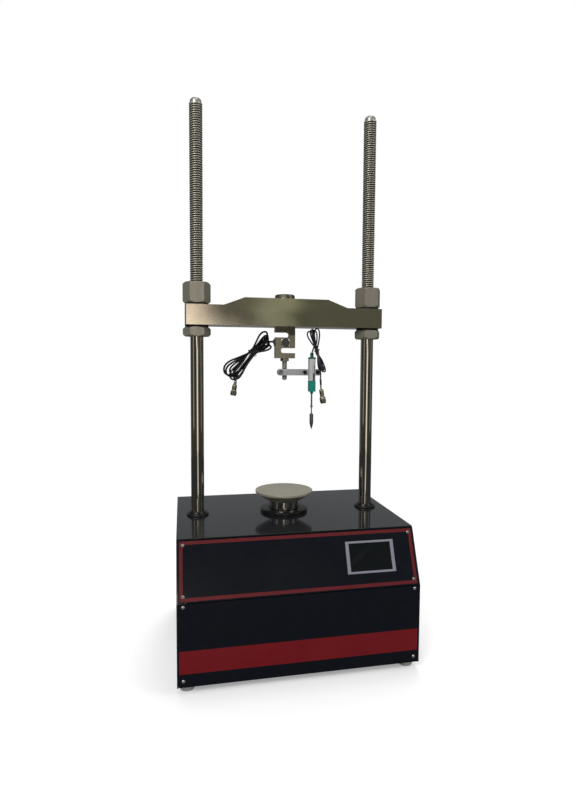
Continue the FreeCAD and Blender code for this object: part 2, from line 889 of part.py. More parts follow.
def frame_leg(side, sign):
    """An upright plate under the beam's end, with a foot turned inwards and a round window."""
    def outwards(near, far):
        return (near, far) if sign > 0 else (-far, -near)
    deep = (d.column_y - d.leg_deep / 2, d.column_y + d.leg_deep / 2)
    upright = box(f"leg_{side}_plate", outwards(leg_inner, leg_outer), deep, (base_top, beam_low))
    foot = box(f"leg_{side}_foot", outwards(leg_inner - d.leg_foot, leg_inner), deep,
               (base_top, base_top + d.leg_thick))
    window = rod(f"leg_{side}_window", d.leg_window_radius,
                 (d.column_y, (base_top + beam_low) / 2), outwards(leg_inner, leg_outer), "X")
    tools = [window]
    for number, spot in enumerate(foot_bolts + leg_top_bolts):
        span = (base_top, base_top + d.leg_thick)
        if number >= len(foot_bolts):
            span = (beam_low - d.leg_foot, beam_low)
        tools.append(rod(f"leg_{side}_hole_{number}", d.small_bolt_radius, spot, span))
    return cut(f"leg_{side}", fuse(f"leg_{side}_blank", upright, foot), *tools)


keep(group("legs", *[frame_leg(side, sign) for side, sign in SIDES.items()]), "frame_legs")


def cap_bolt(name, radius, head, spot, seat, reach, upwards=False):
    """A cap screw: a head as high as its radius on one side of its seat, the shank on the other."""
    head_span, shank_span = ((seat - head, seat), (seat, reach)) if upwards else (
        (seat, seat + head), (reach, seat))
    return fuse(name, rod(name + "_head", head, spot, head_span),
                rod(name + "_shank", radius, spot, shank_span))


jack_plate_top = base_top + d.jack_plate_rise
jack_plate_low = jack_plate_top - d.jack_plate_thick
housing_foot_top = jack_plate_top + d.flange_thick
fasteners = []
for side, spot in columns.items():
    fasteners.append(hexagon(f"base_nut_{side}", d.base_nut_flat, spot,
                             (beam_low - d.base_nut_high, beam_low), d.spigot_radius))
for number, spot in enumerate(ring_spots(housing_bolt_circle)):
    flange_low = beam_low - d.flange_thick
    fasteners.append(cap_bolt(f"housing_bolt_{number}", d.bolt_radius, d.bolt_head, spot,
                              flange_low, flange_low + d.bolt_long, upwards=True))
for number, spot in enumerate(ring_spots(foot_bolt_circle)):
    fasteners.append(cap_bolt(f"foot_bolt_{number}", d.small_bolt_radius, d.small_bolt_head, spot,
                              housing_foot_top, housing_foot_top - d.small_bolt_long))
for number, spot in enumerate(foot_bolts):
    fasteners.append(cap_bolt(f"leg_foot_bolt_{number}", d.small_bolt_radius, d.small_bolt_head, spot,
                              base_top + d.leg_thick, base_low))
for number, spot in enumerate(leg_top_bolts):
    seat = deck_low - d.small_bolt_head
    fasteners.append(fuse(
        f"leg_bolt_{number}",
        rod(f"leg_bolt_{number}_head", d.small_bolt_head, spot, (seat, deck_low)),
        rod(f"leg_bolt_{number}_shank", d.small_bolt_radius, spot, (beam_low - d.leg_foot, seat))))
keep(group("frame_bolts", *fasteners), "frame_fasteners")


# Columns, their collars and the ram's collar

column_top = deck_top + d.column_rise
for side, spot in columns.items():
    turned(f"column_{side}_body", f"column_{side}", [
        (0, beam_low - d.spigot_below),
        (d.spigot_radius, beam_low - d.spigot_below),
        (d.spigot_radius, shoulder),
        (d.column_radius, shoulder),
        (d.column_radius, column_top - d.column_nose),
        (d.column_nose_radius, column_top),
        (0, column_top),
    ], spot)


def collar(name, outer, inner, spot, rise):
    """A turned ring on the deck with a chamfered upper edge."""
    return turned(name, None, [
        (inner, deck_top),
        (outer, deck_top),
        (outer, deck_top + rise - d.collar_chamfer),
        (outer - d.collar_chamfer, deck_top + rise),
        (inner, deck_top + rise),
    ], spot)


keep(group("collars", *[collar(f"collar_{side}", d.collar_radius, d.column_radius + d.running_gap,
                               spot, d.collar_rise) for side, spot in columns.items()]), "column_collars")
keep(collar("ram_collar_body", d.ram_collar_radius, d.ram_radius + d.seat_gap, centre,
            d.ram_collar_rise), "ram_collar")


# Ram with its platen, guided by a bush in the beam

keep(ring("bush", bush_radius, d.ram_radius + d.running_gap, centre, (beam_low, deck_top - d.seat_gap)),
     "ram_bush")
platen_top = deck_top + d.platen_rise
ram_top = platen_top - d.platen_rim - d.platen_cone
thrust_top = jack_plate_top + d.thrust_high
collar_low = thrust_top + d.seat_gap
nut_low = collar_low + d.thrust_collar_high + d.seat_gap
ram_bottom = nut_low + d.ram_nut_flange
ram_nut_top = ram_bottom + d.ram_nut_high
screw_top = ram_nut_top + d.ram_travel + d.screw_spare
ram_bore = d.screw_radius + d.ram_bore_gap
ram_bore_top = screw_top + d.ram_bore_spare
turned("ram_body", "ram", [
    (d.ram_nut_radius, ram_bottom),
    (d.ram_radius, ram_bottom),
    (d.ram_radius, ram_top),
    (0, ram_top),
    (0, ram_bore_top),
    (ram_bore, ram_bore_top),
    (ram_bore, ram_nut_top),
    (d.ram_nut_radius, ram_nut_top),
], centre)
turned("platen_body", "platen", [
    (0, ram_top),
    (d.platen_neck, ram_top),
    (d.platen_radius, platen_top - d.platen_rim),
    (d.platen_radius, platen_top),
    (0, platen_top),
], centre)

key_half = d.key_wide / 2
key_reach = d.housing_radius + d.key_past_housing
nut_blank = fuse(
    "ram_nut_blank",
    rod("ram_nut_barrel", d.ram_nut_radius, centre, (nut_low, ram_nut_top)),
    rod("ram_nut_disc", d.ram_radius - d.seat_gap, centre, (nut_low, ram_bottom)),
    box("ram_nut_key", (d.ram_nut_radius, key_reach), (d.column_y - key_half, d.column_y + key_half),
        (nut_low, ram_bottom)))
keep(cut("ram_nut_bored", nut_blank,
         rod("ram_nut_hole", d.screw_radius + d.running_gap, centre, (nut_low, ram_nut_top))), "ram_nut")


# Housing of the screw jack: a tube hung under the beam, slotted for the nut's key

bracket_reach = key_reach + d.bracket_out


def sensor_bracket(number, z):
    """A small bridge outside the slot that holds a travel sensor in line with the key."""
    half = d.bracket_high / 2
    side_in = key_half + d.bracket_thick
    bridge = box(f"bridge_{number}", (bracket_reach - d.bracket_thick, bracket_reach),
                 (d.column_y - side_in - d.bracket_thick, d.column_y + side_in + d.bracket_thick),
                 (z - half, z + half))
    wings = [box(f"wing_{number}_{side}", (d.housing_radius - d.housing_wall / 2, bracket_reach),
                 (d.column_y + side_in * sign, d.column_y + (side_in + d.bracket_thick) * sign)
                 if sign > 0 else
                 (d.column_y - side_in - d.bracket_thick, d.column_y - side_in),
                 (z - half, z + half)) for side, sign in SIDES.items()]
    return [bridge] + wings


key_middle = ram_bottom - d.ram_nut_flange / 2
sensor_heights = (key_middle, key_middle + d.ram_travel)
slot_half = key_half + d.key_gap
slot_spare = d.sensor_stand_off
sensor_face = key_reach + d.sensor_stand_off
housing_blank = fuse(
    "housing_blank",
    rod("housing_tube", d.housing_radius, centre, (jack_plate_top, beam_low)),
    rod("housing_top", housing_flange, centre, (beam_low - d.flange_thick, beam_low)),
    rod("housing_bottom", housing_foot, centre, (jack_plate_top, housing_foot_top)),
    *[piece for number, z in enumerate(sensor_heights) for piece in sensor_bracket(number, z)])
housing_tools = [
    rod("housing_bore", d.housing_radius - d.housing_wall, centre, (jack_plate_top, beam_low)),
    box("housing_slot", (0, key_reach + slot_spare), (d.column_y - slot_half, d.column_y + slot_half),
        (nut_low - slot_spare, ram_bottom + d.ram_travel + slot_spare)),
]
for number, z in enumerate(sensor_heights):
    housing_tools.append(rod(f"sensor_hole_{number}", d.sensor_radius, (d.column_y, z),
                             (sensor_face, bracket_reach), "X"))
for number, spot in enumerate(ring_spots(housing_bolt_circle)):
    housing_tools.append(rod(f"housing_hole_{number}", d.bolt_radius, spot,
                             (beam_low - d.flange_thick, beam_low)))
for number, spot in enumerate(ring_spots(foot_bolt_circle)):
    housing_tools.append(rod(f"housing_foot_hole_{number}", d.small_bolt_radius, spot,
                             (jack_plate_top, housing_foot_top)))
keep(cut("housing_cut", housing_blank, *housing_tools), "jack_housing")

sensors = []
for number, z in enumerate(sensor_heights):
    point = (d.column_y, z)
    sensors.append(fuse(
        f"sensor_{number}",
        rod(f"sensor_{number}_barrel", d.sensor_radius, point,
            (sensor_face, sensor_face + d.sensor_long), "X"),
        rod(f"sensor_{number}_nut", d.sensor_nut, point,
            (bracket_reach, bracket_reach + d.bracket_thick), "X")))
keep(group("sensors", *sensors), "travel_sensors")


# Gear pair under the jack: drive gear on the screw, pinion on the gearmotor

gear_distance = d.gear_module * (d.gear_teeth + d.pinion_teeth) / 2
motor_spot = (-gear_distance, d.column_y)
gear_top = jack_plate_low - d.gear_below_plate
gear_low = gear_top - d.gear_thick
screw_end = gear_low - d.screw_below_gear


def gear_points(teeth, turn):
    """The outline of a spur gear: an involute flank on each side of each tooth, thinned for backlash."""
    module = d.gear_module.value
    pressure = math.radians(d.pressure_angle.value)
    pitch = module * teeth / 2
    base = pitch * math.cos(pressure)
    root = pitch - 1.25 * module
    tip = pitch + module
    start = max(base, root)
    flank_radii = [start + (tip - start) * share for share in (0, 0.3, 0.65, 1)]

    def involute(angle):
        return math.tan(angle) - angle

    thin = d.gear_backlash.value / 4 / pitch
    half_pitch = math.pi / 2 / teeth + involute(pressure) - thin
    flank = [(r, half_pitch - involute(math.acos(base / r))) for r in flank_radii]
    if root < base:
        flank.insert(0, (root, flank[0][1]))
    points = []
    for tooth in range(teeth):
        middle = turn + 2 * math.pi * tooth / teeth
        points += [(r, middle - half) for r, half in flank]
        points += [(r, middle + half) for r, half in reversed(flank)]
    return [FreeCAD.Vector(r * math.cos(angle), r * math.sin(angle), 0) for r, angle in points]


def gear(name, node, teeth, turn, spot, boss, bore=0, shaft=0):
    """A spur gear lying flat: with a boss above it, then a bore through it or a shaft on top of it."""
    thick = d.gear_thick.value
    points = gear_points(teeth, turn)
    wheel = Part.Face(Part.makePolygon(points + points[:1])).extrude(UP * thick)
    wheel = wheel.fuse(Part.makeCylinder(boss, thick + d.gear_hub_rise.value))
    if shaft:
        reach = jack_plate_top - d.pilot_high + d.motor_shaft_in - gear_low
        wheel = wheel.fuse(Part.makeCylinder(shaft, reach.value))
    if bore:
        wheel = wheel.cut(Part.makeCylinder(bore, thick + d.gear_hub_rise.value))
    item = doc.addObject("Part::Feature", name)
    item.Shape = wheel
    return keep(place(item, (spot[0], spot[1], gear_low)), node)


gear_teeth = int(d.gear_teeth.value)
pinion_teeth = int(d.pinion_teeth.value)
gear("drive_gear_solid", "drive_gear", gear_teeth, math.pi, centre, d.gear_hub.value,
     bore=d.journal_radius.value)
# The drive gear points a tooth at the pinion, which shows it a gap.
gear("pinion_solid", "motor_pinion", pinion_teeth, math.pi / pinion_teeth, motor_spot,
     d.motor_shaft.value + d.gear_hub_rise.value, shaft=d.motor_shaft.value)

turned("screw_body", "jack_screw", [
    (0, screw_end),
    (d.journal_radius, screw_end),
    (d.journal_radius, jack_plate_top),
    (d.screw_radius, jack_plate_top),
    (d.screw_radius, collar_low),
    (d.thrust_collar, collar_low),
    (d.thrust_collar, nut_low - d.seat_gap),
    (d.screw_radius, nut_low - d.seat_gap),
    (d.screw_radius, screw_top),
    (0, screw_top),
], centre)

bearing_low = jack_plate_low + d.bearing_lip
keep(group(
    "bearings",
    ring("journal_bearing", d.bearing_radius, d.journal_radius + d.running_gap, centre,
         (bearing_low, bearing_low + d.bearing_high)),
    ring("thrust_bearing", d.thrust_radius, d.screw_radius + d.running_gap, centre,
         (jack_plate_top, thrust_top))), "screw_bearings")

plate_left = -gear_distance - d.gearbox_radius - d.jack_plate_margin
jack_plate_blank = box("jack_plate_blank", (plate_left, housing_foot),
                       (d.column_y - housing_foot, d.column_y + housing_foot),
                       (jack_plate_low, jack_plate_top))
jack_plate_tools = [
    rod("plate_screw_hole", d.screw_radius + d.screw_hole_gap, centre, (jack_plate_low, jack_plate_top)),
    rod("plate_bearing_seat", d.bearing_radius, centre, (bearing_low, bearing_low + d.bearing_high)),
    rod("plate_bearing_way", d.bearing_radius - d.bearing_ledge, centre, (jack_plate_low, bearing_low)),
    rod("plate_shaft_hole", d.motor_shaft + d.shaft_hole_gap, motor_spot, (jack_plate_low, jack_plate_top)),
    rod("plate_pilot_seat", d.pilot_radius, motor_spot,
        (jack_plate_top - d.pilot_high, jack_plate_top)),
]
for number, spot in enumerate(ring_spots(foot_bolt_circle)):
    jack_plate_tools.append(rod(f"plate_tap_{number}", d.small_bolt_radius, spot,
                                (housing_foot_top - d.small_bolt_long, jack_plate_top)))
keep(cut("jack_plate_cut", jack_plate_blank, *jack_plate_tools), "jack_plate")

gearbox_top = jack_plate_top + d.gearbox_high
motor_top = gearbox_top + d.motor_high
pilot_low = jack_plate_top - d.pilot_high
shaft_room = pilot_low + d.motor_shaft_in + d.seat_gap
turned("gearmotor_body", "gearmotor", [
    (d.motor_shaft + d.running_gap, pilot_low),
    (d.pilot_radius, pilot_low),
    (d.pilot_radius, jack_plate_top),
    (d.gearbox_radius, jack_plate_top),
    (d.gearbox_radius, gearbox_top),
    (d.motor_radius, gearbox_top),
    (d.motor_radius, motor_top),
    (d.encoder_radius, motor_top),
    (d.encoder_radius, motor_top + d.encoder_high),
    (0, motor_top + d.encoder_high),
    (0, shaft_room),
    (d.motor_shaft + d.running_gap, shaft_room),
], motor_spot)


# Electronics inside the cabinet

board_low = base_top + d.spacer_high
board_front = front + d.board_inset
board_back = board_front + d.board_deep
board_pieces = [box("board_sheet", (-d.board_wide / 2, d.board_wide / 2), (board_front, board_back),
                    (board_low, board_low + d.board_thick))]
for number, (sign, y) in enumerate([(sign, y) for sign in (-1, 1)
                                    for y in (board_front + d.board_margin, board_back - d.board_margin)]):
    spot = ((d.board_wide / 2 - d.board_margin) * sign, y)
    board_pieces.append(rod(f"spacer_{number}", d.spacer_radius, spot, (base_top, board_low)))
chip_top = board_low + d.board_thick
# Each component in steps of the board's grid: its name, its place from the middle of the front edge,
# and its size.
for name, x, y, wide, deep, high in (
        ("main_chip", 0, 6, 3, 3, 0.3), ("relay_left", -6, 3, 2, 1.6, 1.5),
        ("relay_right", -3, 3, 2, 1.6, 1.5), ("input_chip", 4.5, 7.5, 2.2, 1.2, 0.3),
        ("terminal_row", 0, 10, 14, 1, 1.2), ("coil_block", 5.5, 3, 2.4, 2.4, 1.4)):
    board_pieces.append(box(
        name, (d.board_grid * (x - wide / 2), d.board_grid * (x + wide / 2)),
        (board_front + d.board_grid * (y - deep / 2), board_front + d.board_grid * (y + deep / 2)),
        (chip_top, chip_top + d.board_grid * high)))
keep(fuse("board", *board_pieces), "control_board")


FIN_SLOTS = 8


def cased_unit(name, node, x, y, wide, deep, high):
    """A boxed unit on the base plate with a row of cooling fins or slots along its top."""
    case = box(name + "_case", (x - wide / 2, x + wide / 2), (y - deep / 2, y + deep / 2),
               (base_top, base_top + high))
    slots = []
    for number in range(FIN_SLOTS):
        start = x - wide / 2 + d.fin_pitch * (number + 1)
        slots.append(box(f"{name}_slot_{number}", (start, start + d.fin_slot),
                         (y - deep / 2 + d.fin_end, y + deep / 2 - d.fin_end),
                         (base_top + high - d.fin_deep, base_top + high)))
    return keep(cut(name, case, *slots), node)


cased_unit("supply", "power_supply", half_wide - d.supply_side_gap - d.supply_wide / 2,
           back - d.supply_back_gap - d.supply_deep / 2, d.supply_wide, d.supply_deep, d.supply_high)
cased_unit("drive", "motor_drive", -half_wide + d.drive_side_gap + d.drive_wide / 2,
           back - d.drive_back_gap - d.drive_deep / 2, d.drive_wide, d.drive_deep, d.drive_high)


# Mains inlet with its rocker switch, and the sensor sockets, all in the rear panel

inlet_left = inlet_x - d.inlet_wide / 2
inlet_right = inlet_x + d.inlet_wide / 2
inlet_low = inlet_z - d.inlet_tall / 2
inlet_high = inlet_z + d.inlet_tall / 2
flange_back = back + d.inlet_flange_thick
rocker_z = inlet_high - d.rocker_tall
rocker_y = flange_back - d.rocker_proud
rocker_half = d.rocker_wide / 2
well_half = rocker_half + d.rocker_gap
well_tall = d.rocker_tall / 2 + d.rocker_gap + d.rocker_swing_room


def mains_inlet():
    """The inlet's case and flange, its pins, and the well with two stub pins that the rocker swings on."""
    case = fuse(
        "inlet_blank",
        box("inlet_case", (inlet_left, inlet_right), (back - d.inlet_deep, back), (inlet_low, inlet_high)),
        box("inlet_rim", (inlet_left - d.inlet_flange, inlet_right + d.inlet_flange),
            (back, flange_back), (inlet_low - d.inlet_flange, inlet_high + d.inlet_flange)))
    half_wide_socket = d.socket_mouth_wide / 2
    socket_middle = inlet_low + d.socket_mouth_tall
    mouth = box("inlet_socket", (inlet_x - half_wide_socket, inlet_x + half_wide_socket),
                (back - d.socket_mouth_deep, flange_back),
                (socket_middle - d.socket_mouth_tall / 2, socket_middle + d.socket_mouth_tall / 2))
    well = box("rocker_well", (inlet_x - well_half, inlet_x + well_half),
               (flange_back - d.rocker_well, flange_back), (rocker_z - well_tall, rocker_z + well_tall))
    pins = []
    for number, (across, up) in enumerate(((-1, -1), (0, 1), (1, -1))):
        x = inlet_x + d.pin_side * across
        z = socket_middle + d.pin_offset * up
        pins.append(box(f"inlet_pin_{number}", (x - d.pin_half_wide, x + d.pin_half_wide),
                        (back - d.socket_mouth_deep, back - d.pin_sunk),
                        (z - d.pin_half_tall, z + d.pin_half_tall)))
    for side, sign in SIDES.items():
        ends = (inlet_x - well_half, inlet_x - rocker_half + d.rocker_pin_grip)
        if sign > 0:
            ends = (inlet_x + rocker_half - d.rocker_pin_grip, inlet_x + well_half)
        pins.append(rod(f"rocker_pin_{side}", d.rocker_pin, (rocker_y, rocker_z), ends, "X"))
    return keep(fuse("inlet", cut("inlet_cut", case, mouth, well), *pins), "mains_inlet")


def rocker():
    """The switch's rocker, drawn about its pin: a paddle with two faces at a shallow angle."""
    body = new_body("rocker_body")
    sketch = new_sketch(body, "YZ", -rocker_half)
    half = d.rocker_tall / 2
    outline(sketch, [
        (d.rocker_proud * 0.6, -half * 0.86), (d.rocker_proud, -half), (d.rocker_proud * 0.7, 0),
        (d.rocker_proud * 0.6, half), (d.rocker_proud * 0.2, half * 0.93),
        (-d.rocker_belly, d.rocker_belly_half), (-d.rocker_belly, -d.rocker_belly_half),
        (0, -half * 0.8)])
    pad(body, sketch, d.rocker_wide)
    place(body, (inlet_x, rocker_y, rocker_z))
    hole = rod("rocker_hole", d.rocker_pin + d.running_gap, (rocker_y, rocker_z),
               (inlet_x - rocker_half, inlet_x + rocker_half), "X")
    return keep(cut("rocker_cut", body, hole), "power_rocker")


mains_inlet()
rocker()

sockets = []
for number, spot in enumerate(socket_spots):
    blank = fuse(f"socket_{number}_blank",
                 rod(f"socket_{number}_flange", d.socket_flange, spot, (back, flange_back), "Y"),
                 rod(f"socket_{number}_body", d.socket_radius, spot, (back - d.socket_long, back), "Y"))
    sockets.append(cut(f"socket_{number}", blank,
                       rod(f"socket_{number}_bore", d.socket_bore, spot,
                           (back - d.socket_long / 2, flange_back), "Y")))
keep(group("sockets", *sockets), "sensor_sockets")


# Levelling feet screwed into the base plate

feet = []
for number, spot in enumerate(foot_spots):
    feet.append(turned(f"foot_{number}", None, [
        (0, 0),
        (d.foot_radius - d.foot_round, 0),
        (d.foot_radius, d.foot_round),
        (d.foot_radius, d.foot_pad - d.foot_chamfer),
        (d.foot_radius - d.foot_chamfer, d.foot_pad),
        (d.foot_stud, d.foot_pad),
        (d.foot_stud, base_top + d.foot_stud_end),
        (0, base_top + d.foot_stud_end),
    ], spot))
keep(group("feet", *feet), "levelling_feet")


# Crosshead with its washers and centre bolt

crosshead_low = deck_top + d.crosshead_clear
crosshead_top = crosshead_low + d.crosshead_rise
crosshead_end_top = crosshead_low + d.crosshead_end_rise
crosshead_half = column_x + d.crosshead_overhang
shoulder_out = column_x - d.shoulder_clear
shoulder_in = shoulder_out - d.shoulder_run
bore_radius = d.column_radius + d.nut_gap


def crosshead():
    """A thick bar, deeper over its middle, bored for the columns and the centre bolt."""
    body = new_body("crosshead_body")
    side = new_sketch(body, "XZ", -d.column_y - d.crosshead_deep / 2)
    outline(side, [
        (-crosshead_half, crosshead_low), (crosshead_half, crosshead_low),
        (crosshead_half, crosshead_end_top), (shoulder_out, crosshead_end_top),
        (shoulder_in, crosshead_top), (-shoulder_in, crosshead_top),
        (-shoulder_out, crosshead_end_top), (-crosshead_half, crosshead_end_top),
    ])
    pad(body, side, d.crosshead_deep)
    bores = new_sketch(body, "XY", crosshead_top)
    circle(bores, 0, d.column_y, d.centre_shank)
    for spot in columns.values():
        circle(bores, spot[0], spot[1], bore_radius)
    bored = pocket(body, bores, d.crosshead_rise)
    ends = [f"Edge{number}" for number, edge in enumerate(bored.Shape.Edges, start=1)
            if abs(edge.BoundBox.ZLength - d.crosshead_end_rise.value) < 1e-6
            and abs(abs(edge.CenterOfMass.x) - crosshead_half.value) < 1e-6]
    rounding = body.newObject("PartDesign::Fillet", "crosshead_rounding")
    rounding.Base = (bored, ends)
    bind(rounding, {"Radius": d.crosshead_round})
    return keep(body, "crosshead")


crosshead()

lower_washer_low = crosshead_low - d.washer_thick
upper_washer_top = crosshead_end_top + d.washer_thick
washers = [ring("bolt_washer", d.bolt_washer_radius, d.centre_shank, centre,
                (crosshead_top, crosshead_top + d.bolt_washer_thick))]
for side, spot in columns.items():
    for level, span in (("upper", (crosshead_end_top, upper_washer_top)),
                        ("lower", (lower_washer_low, crosshead_low))):
        washers.append(ring(f"washer_{level}_{side}", d.washer_radius,
                            d.column_radius + d.washer_bore_gap, spot, span))
keep(group("washers", *washers), "crosshead_washers")

bolt_seat = crosshead_top + d.bolt_washer_thick
turned("centre_bolt_body", "centre_bolt", [
    (0, crosshead_low - d.cell_thread_deep),
    (d.cell_thread, crosshead_low - d.cell_thread_deep),
    (d.cell_thread, crosshead_low),
    (d.centre_shank, crosshead_low),
    (d.centre_shank, bolt_seat),
    (d.centre_head_radius, bolt_seat),
    (d.centre_head_radius, bolt_seat + d.centre_head_rise - d.centre_head_chamfer),
    (d.centre_head_radius - d.centre_head_chamfer, bolt_seat + d.centre_head_rise),
    (0, bolt_seat + d.centre_head_rise),
], centre)


# The four nuts that clamp the crosshead to the columns

for side, spot in columns.items():
    keep(hexagon(f"upper_nut_{side}_solid", d.nut_flat, spot,
                 (upper_washer_top, upper_washer_top + d.upper_nut_high), bore_radius, d.nut_chamfer),
         f"upper_nut_{side}")
    keep(hexagon(f"lower_nut_{side}_solid", d.nut_flat, spot,
                 (lower_washer_low - d.lower_nut_high, lower_washer_low), bore_radius, d.nut_chamfer),
         f"lower_nut_{side}")


# Load cell: an S-shaped beam hung from the crosshead

cell_low = crosshead_low - d.cell_high
cell_half = d.cell_wide / 2
upper_slot_z = crosshead_low - d.cell_arm - d.cell_slot / 2
lower_slot_z = cell_low + d.cell_arm + d.cell_slot / 2
cell_middle = crosshead_low - d.cell_high / 2
slot_end = d.cell_slot_past - d.cell_slot / 2


def load_cell():
    """Two slots from opposite sides leave the S; a round gauge pocket goes through its middle."""
    body = new_body("cell_body")
    face = new_sketch(body, "XZ", -d.column_y - d.cell_deep / 2)
    outline(face, rectangle((-cell_half, cell_half), (cell_low, crosshead_low)))
    pad(body, face, d.cell_deep)
    for sign, z in ((1, upper_slot_z), (-1, lower_slot_z)):
        slot = new_sketch(body, "XZ", -d.column_y + d.cell_deep / 2)
        outline(slot, rectangle((-cell_half, slot_end) if sign > 0 else (-slot_end, cell_half),
                                (z - d.cell_slot / 2, z + d.cell_slot / 2)))
        pocket(body, slot, d.cell_deep)
        rounded = new_sketch(body, "XZ", -d.column_y + d.cell_deep / 2)
        circle(rounded, slot_end * sign, z, d.cell_slot / 2)
        pocket(body, rounded, d.cell_deep)
    gauge = new_sketch(body, "XZ", -d.column_y + d.cell_deep / 2)
    circle(gauge, 0, cell_middle, d.cell_pocket)
    pocket(body, gauge, d.cell_deep)
    for height, forward in ((crosshead_low, False), (cell_low, True)):
        tap = new_sketch(body, "XY", height)
        circle(tap, 0, d.column_y, d.cell_thread)
        pocket(body, tap, d.cell_thread_deep, forward)
    return keep(body, "load_cell")


load_cell()

cell_front = d.column_y - d.cell_deep / 2
cell_back = d.column_y + d.cell_deep / 2
gland_z = crosshead_low - d.gland_below
gland_face = -cell_half - d.gland_plate
gland_end = gland_face - d.gland_long
keep(group(
    "covers",
    rod("cover_front", d.cell_pocket, (0, cell_middle),
        (cell_front + d.cell_cover_sunk, cell_front + d.cell_cover_sunk + d.cell_cover_thick), "Y"),
    rod("cover_back", d.cell_pocket, (0, cell_middle),
        (cell_back - d.cell_cover_sunk - d.cell_cover_thick, cell_back - d.cell_cover_sunk), "Y"),
    fuse("gland",
         box("gland_sheet", (gland_face, -cell_half),
             (d.column_y - d.gland_wide / 2, d.column_y + d.gland_wide / 2),
             (cell_middle - d.gland_tall / 2, cell_middle + d.gland_tall / 2)),
         rod("gland_nose", d.gland_radius, (d.column_y, gland_z), (gland_end, gland_face), "X"))),
    "cell_covers")

stud_end = cell_low - d.stud_long
turned("stud_body", "cell_stud", [
    (0, stud_end),
    (d.cell_thread - d.stud_round, stud_end),
    (d.cell_thread, stud_end + d.stud_round),
    (d.cell_thread, cell_low + d.cell_thread_deep),
    (0, cell_low + d.cell_thread_deep),
], centre)
keep(hexagon("lock_nut", d.lock_nut_flat, centre, (cell_low - d.lock_nut_high, cell_low), d.cell_thread),
     "cell_lock_nut")


# Arm on the stud that carries the displacement transducer

arm_z = cell_low - d.arm_drop
arm_low = arm_z - d.arm_high / 2
arm_top = arm_z + d.arm_high / 2
arm_front = d.column_y - d.arm_deep / 2
arm_back = d.column_y + d.arm_deep / 2
slot_radius = d.slot_high / 2
arm_blank = fuse(
    "arm_blank",
    box("arm_bar", (-d.arm_left, d.arm_right), (arm_front, arm_back), (arm_low, arm_top)),
    rod("arm_round", d.arm_head, (-d.arm_left, arm_z), (arm_front, arm_back), "Y"))
arm_tools = [
    rod("arm_bore", d.cell_thread + d.running_gap, centre,
        (arm_low - d.cut_past, arm_top + d.cut_past)),
    box("arm_split", (-d.arm_left - d.arm_head, 0),
        (d.column_y - d.arm_slit / 2, d.column_y + d.arm_slit / 2),
        (arm_low - d.cut_past, arm_top + d.cut_past)),
    rod("arm_clamp_hole", d.clamp_shank, (-d.clamp_screw_x, arm_z), (arm_front, arm_back), "Y"),
    box("arm_slot", (d.slot_left + slot_radius, d.slot_right - slot_radius), (arm_front, arm_back),
        (arm_z - slot_radius, arm_z + slot_radius)),
    rod("arm_slot_left", slot_radius, (d.slot_left + slot_radius, arm_z), (arm_front, arm_back), "Y"),
    rod("arm_slot_right", slot_radius, (d.slot_right - slot_radius, arm_z), (arm_front, arm_back), "Y"),
]
keep(cut("arm_cut", arm_blank, *arm_tools), "transducer_arm")

clip_front = arm_front - d.clip_thick
gauge_left = d.gauge_x - d.gauge_wide / 2
gauge_right = d.gauge_x + d.gauge_wide / 2
clips = []
arm_screws = [fuse(
    "clamp_screw",
    rod("clamp_screw_head", d.clamp_head, (-d.clamp_screw_x, arm_z),
        (arm_front - d.clamp_head_rise, arm_front), "Y"),
    rod("clamp_screw_shank", d.clamp_shank, (-d.clamp_screw_x, arm_z), (arm_front, arm_back), "Y"))]
for side, sign in SIDES.items():
    x = d.gauge_x + d.clip_offset * sign
    point = (x, arm_z)
    near = gauge_left - d.clip_gap if sign < 0 else gauge_right + d.clip_gap
    lip_end = gauge_left + d.clip_lip if sign < 0 else gauge_right - d.clip_lip
    outer = x + d.clip_half * sign
    block = (outer, near) if sign < 0 else (near, outer)
    lip = (near, lip_end) if sign < 0 else (lip_end, near)
    tall = (arm_z - d.clip_half, arm_z + d.clip_half)
    clips.append(cut(
        f"clip_{side}",
        fuse(f"clip_{side}_blank",
             box(f"clip_{side}_block", block, (clip_front, arm_front), tall),
             box(f"clip_{side}_lip", lip, (clip_front, clip_front + d.groove_wide - 2 * d.clip_gap), tall)),
        rod(f"clip_{side}_hole", d.clamp_shank, point, (clip_front, arm_front), "Y")))
    arm_screws.append(fuse(
        f"clip_screw_{side}",
        rod(f"clip_screw_{side}_head", d.clip_head, point, (clip_front - d.clip_head_rise, clip_front), "Y"),
        rod(f"clip_screw_{side}_shank", d.clamp_shank, point, (clip_front, arm_back), "Y"),
        rod(f"clip_screw_{side}_nut", d.clip_head, point, (arm_back, arm_back + d.clip_thick), "Y")))
keep(group("clips", *clips), "transducer_clips")
keep(group("screws_of_arm", *arm_screws), "arm_screws")


# Displacement transducer and its plunger

gauge_spot = (d.gauge_x, d.gauge_y)
gauge_face = d.gauge_y - d.gauge_front
gauge_rear = d.gauge_y + d.gauge_back
gauge_low = arm_z - d.gauge_below_arm
gauge_top = gauge_low + d.gauge_high
rod_hole = d.rod_radius + d.running_gap
cap_rear = gauge_face + d.gauge_cap_deep
groove_front = clip_front - d.clip_gap
travel_room = gauge_low + d.rod_in + d.plunger_travel + d.rod_room


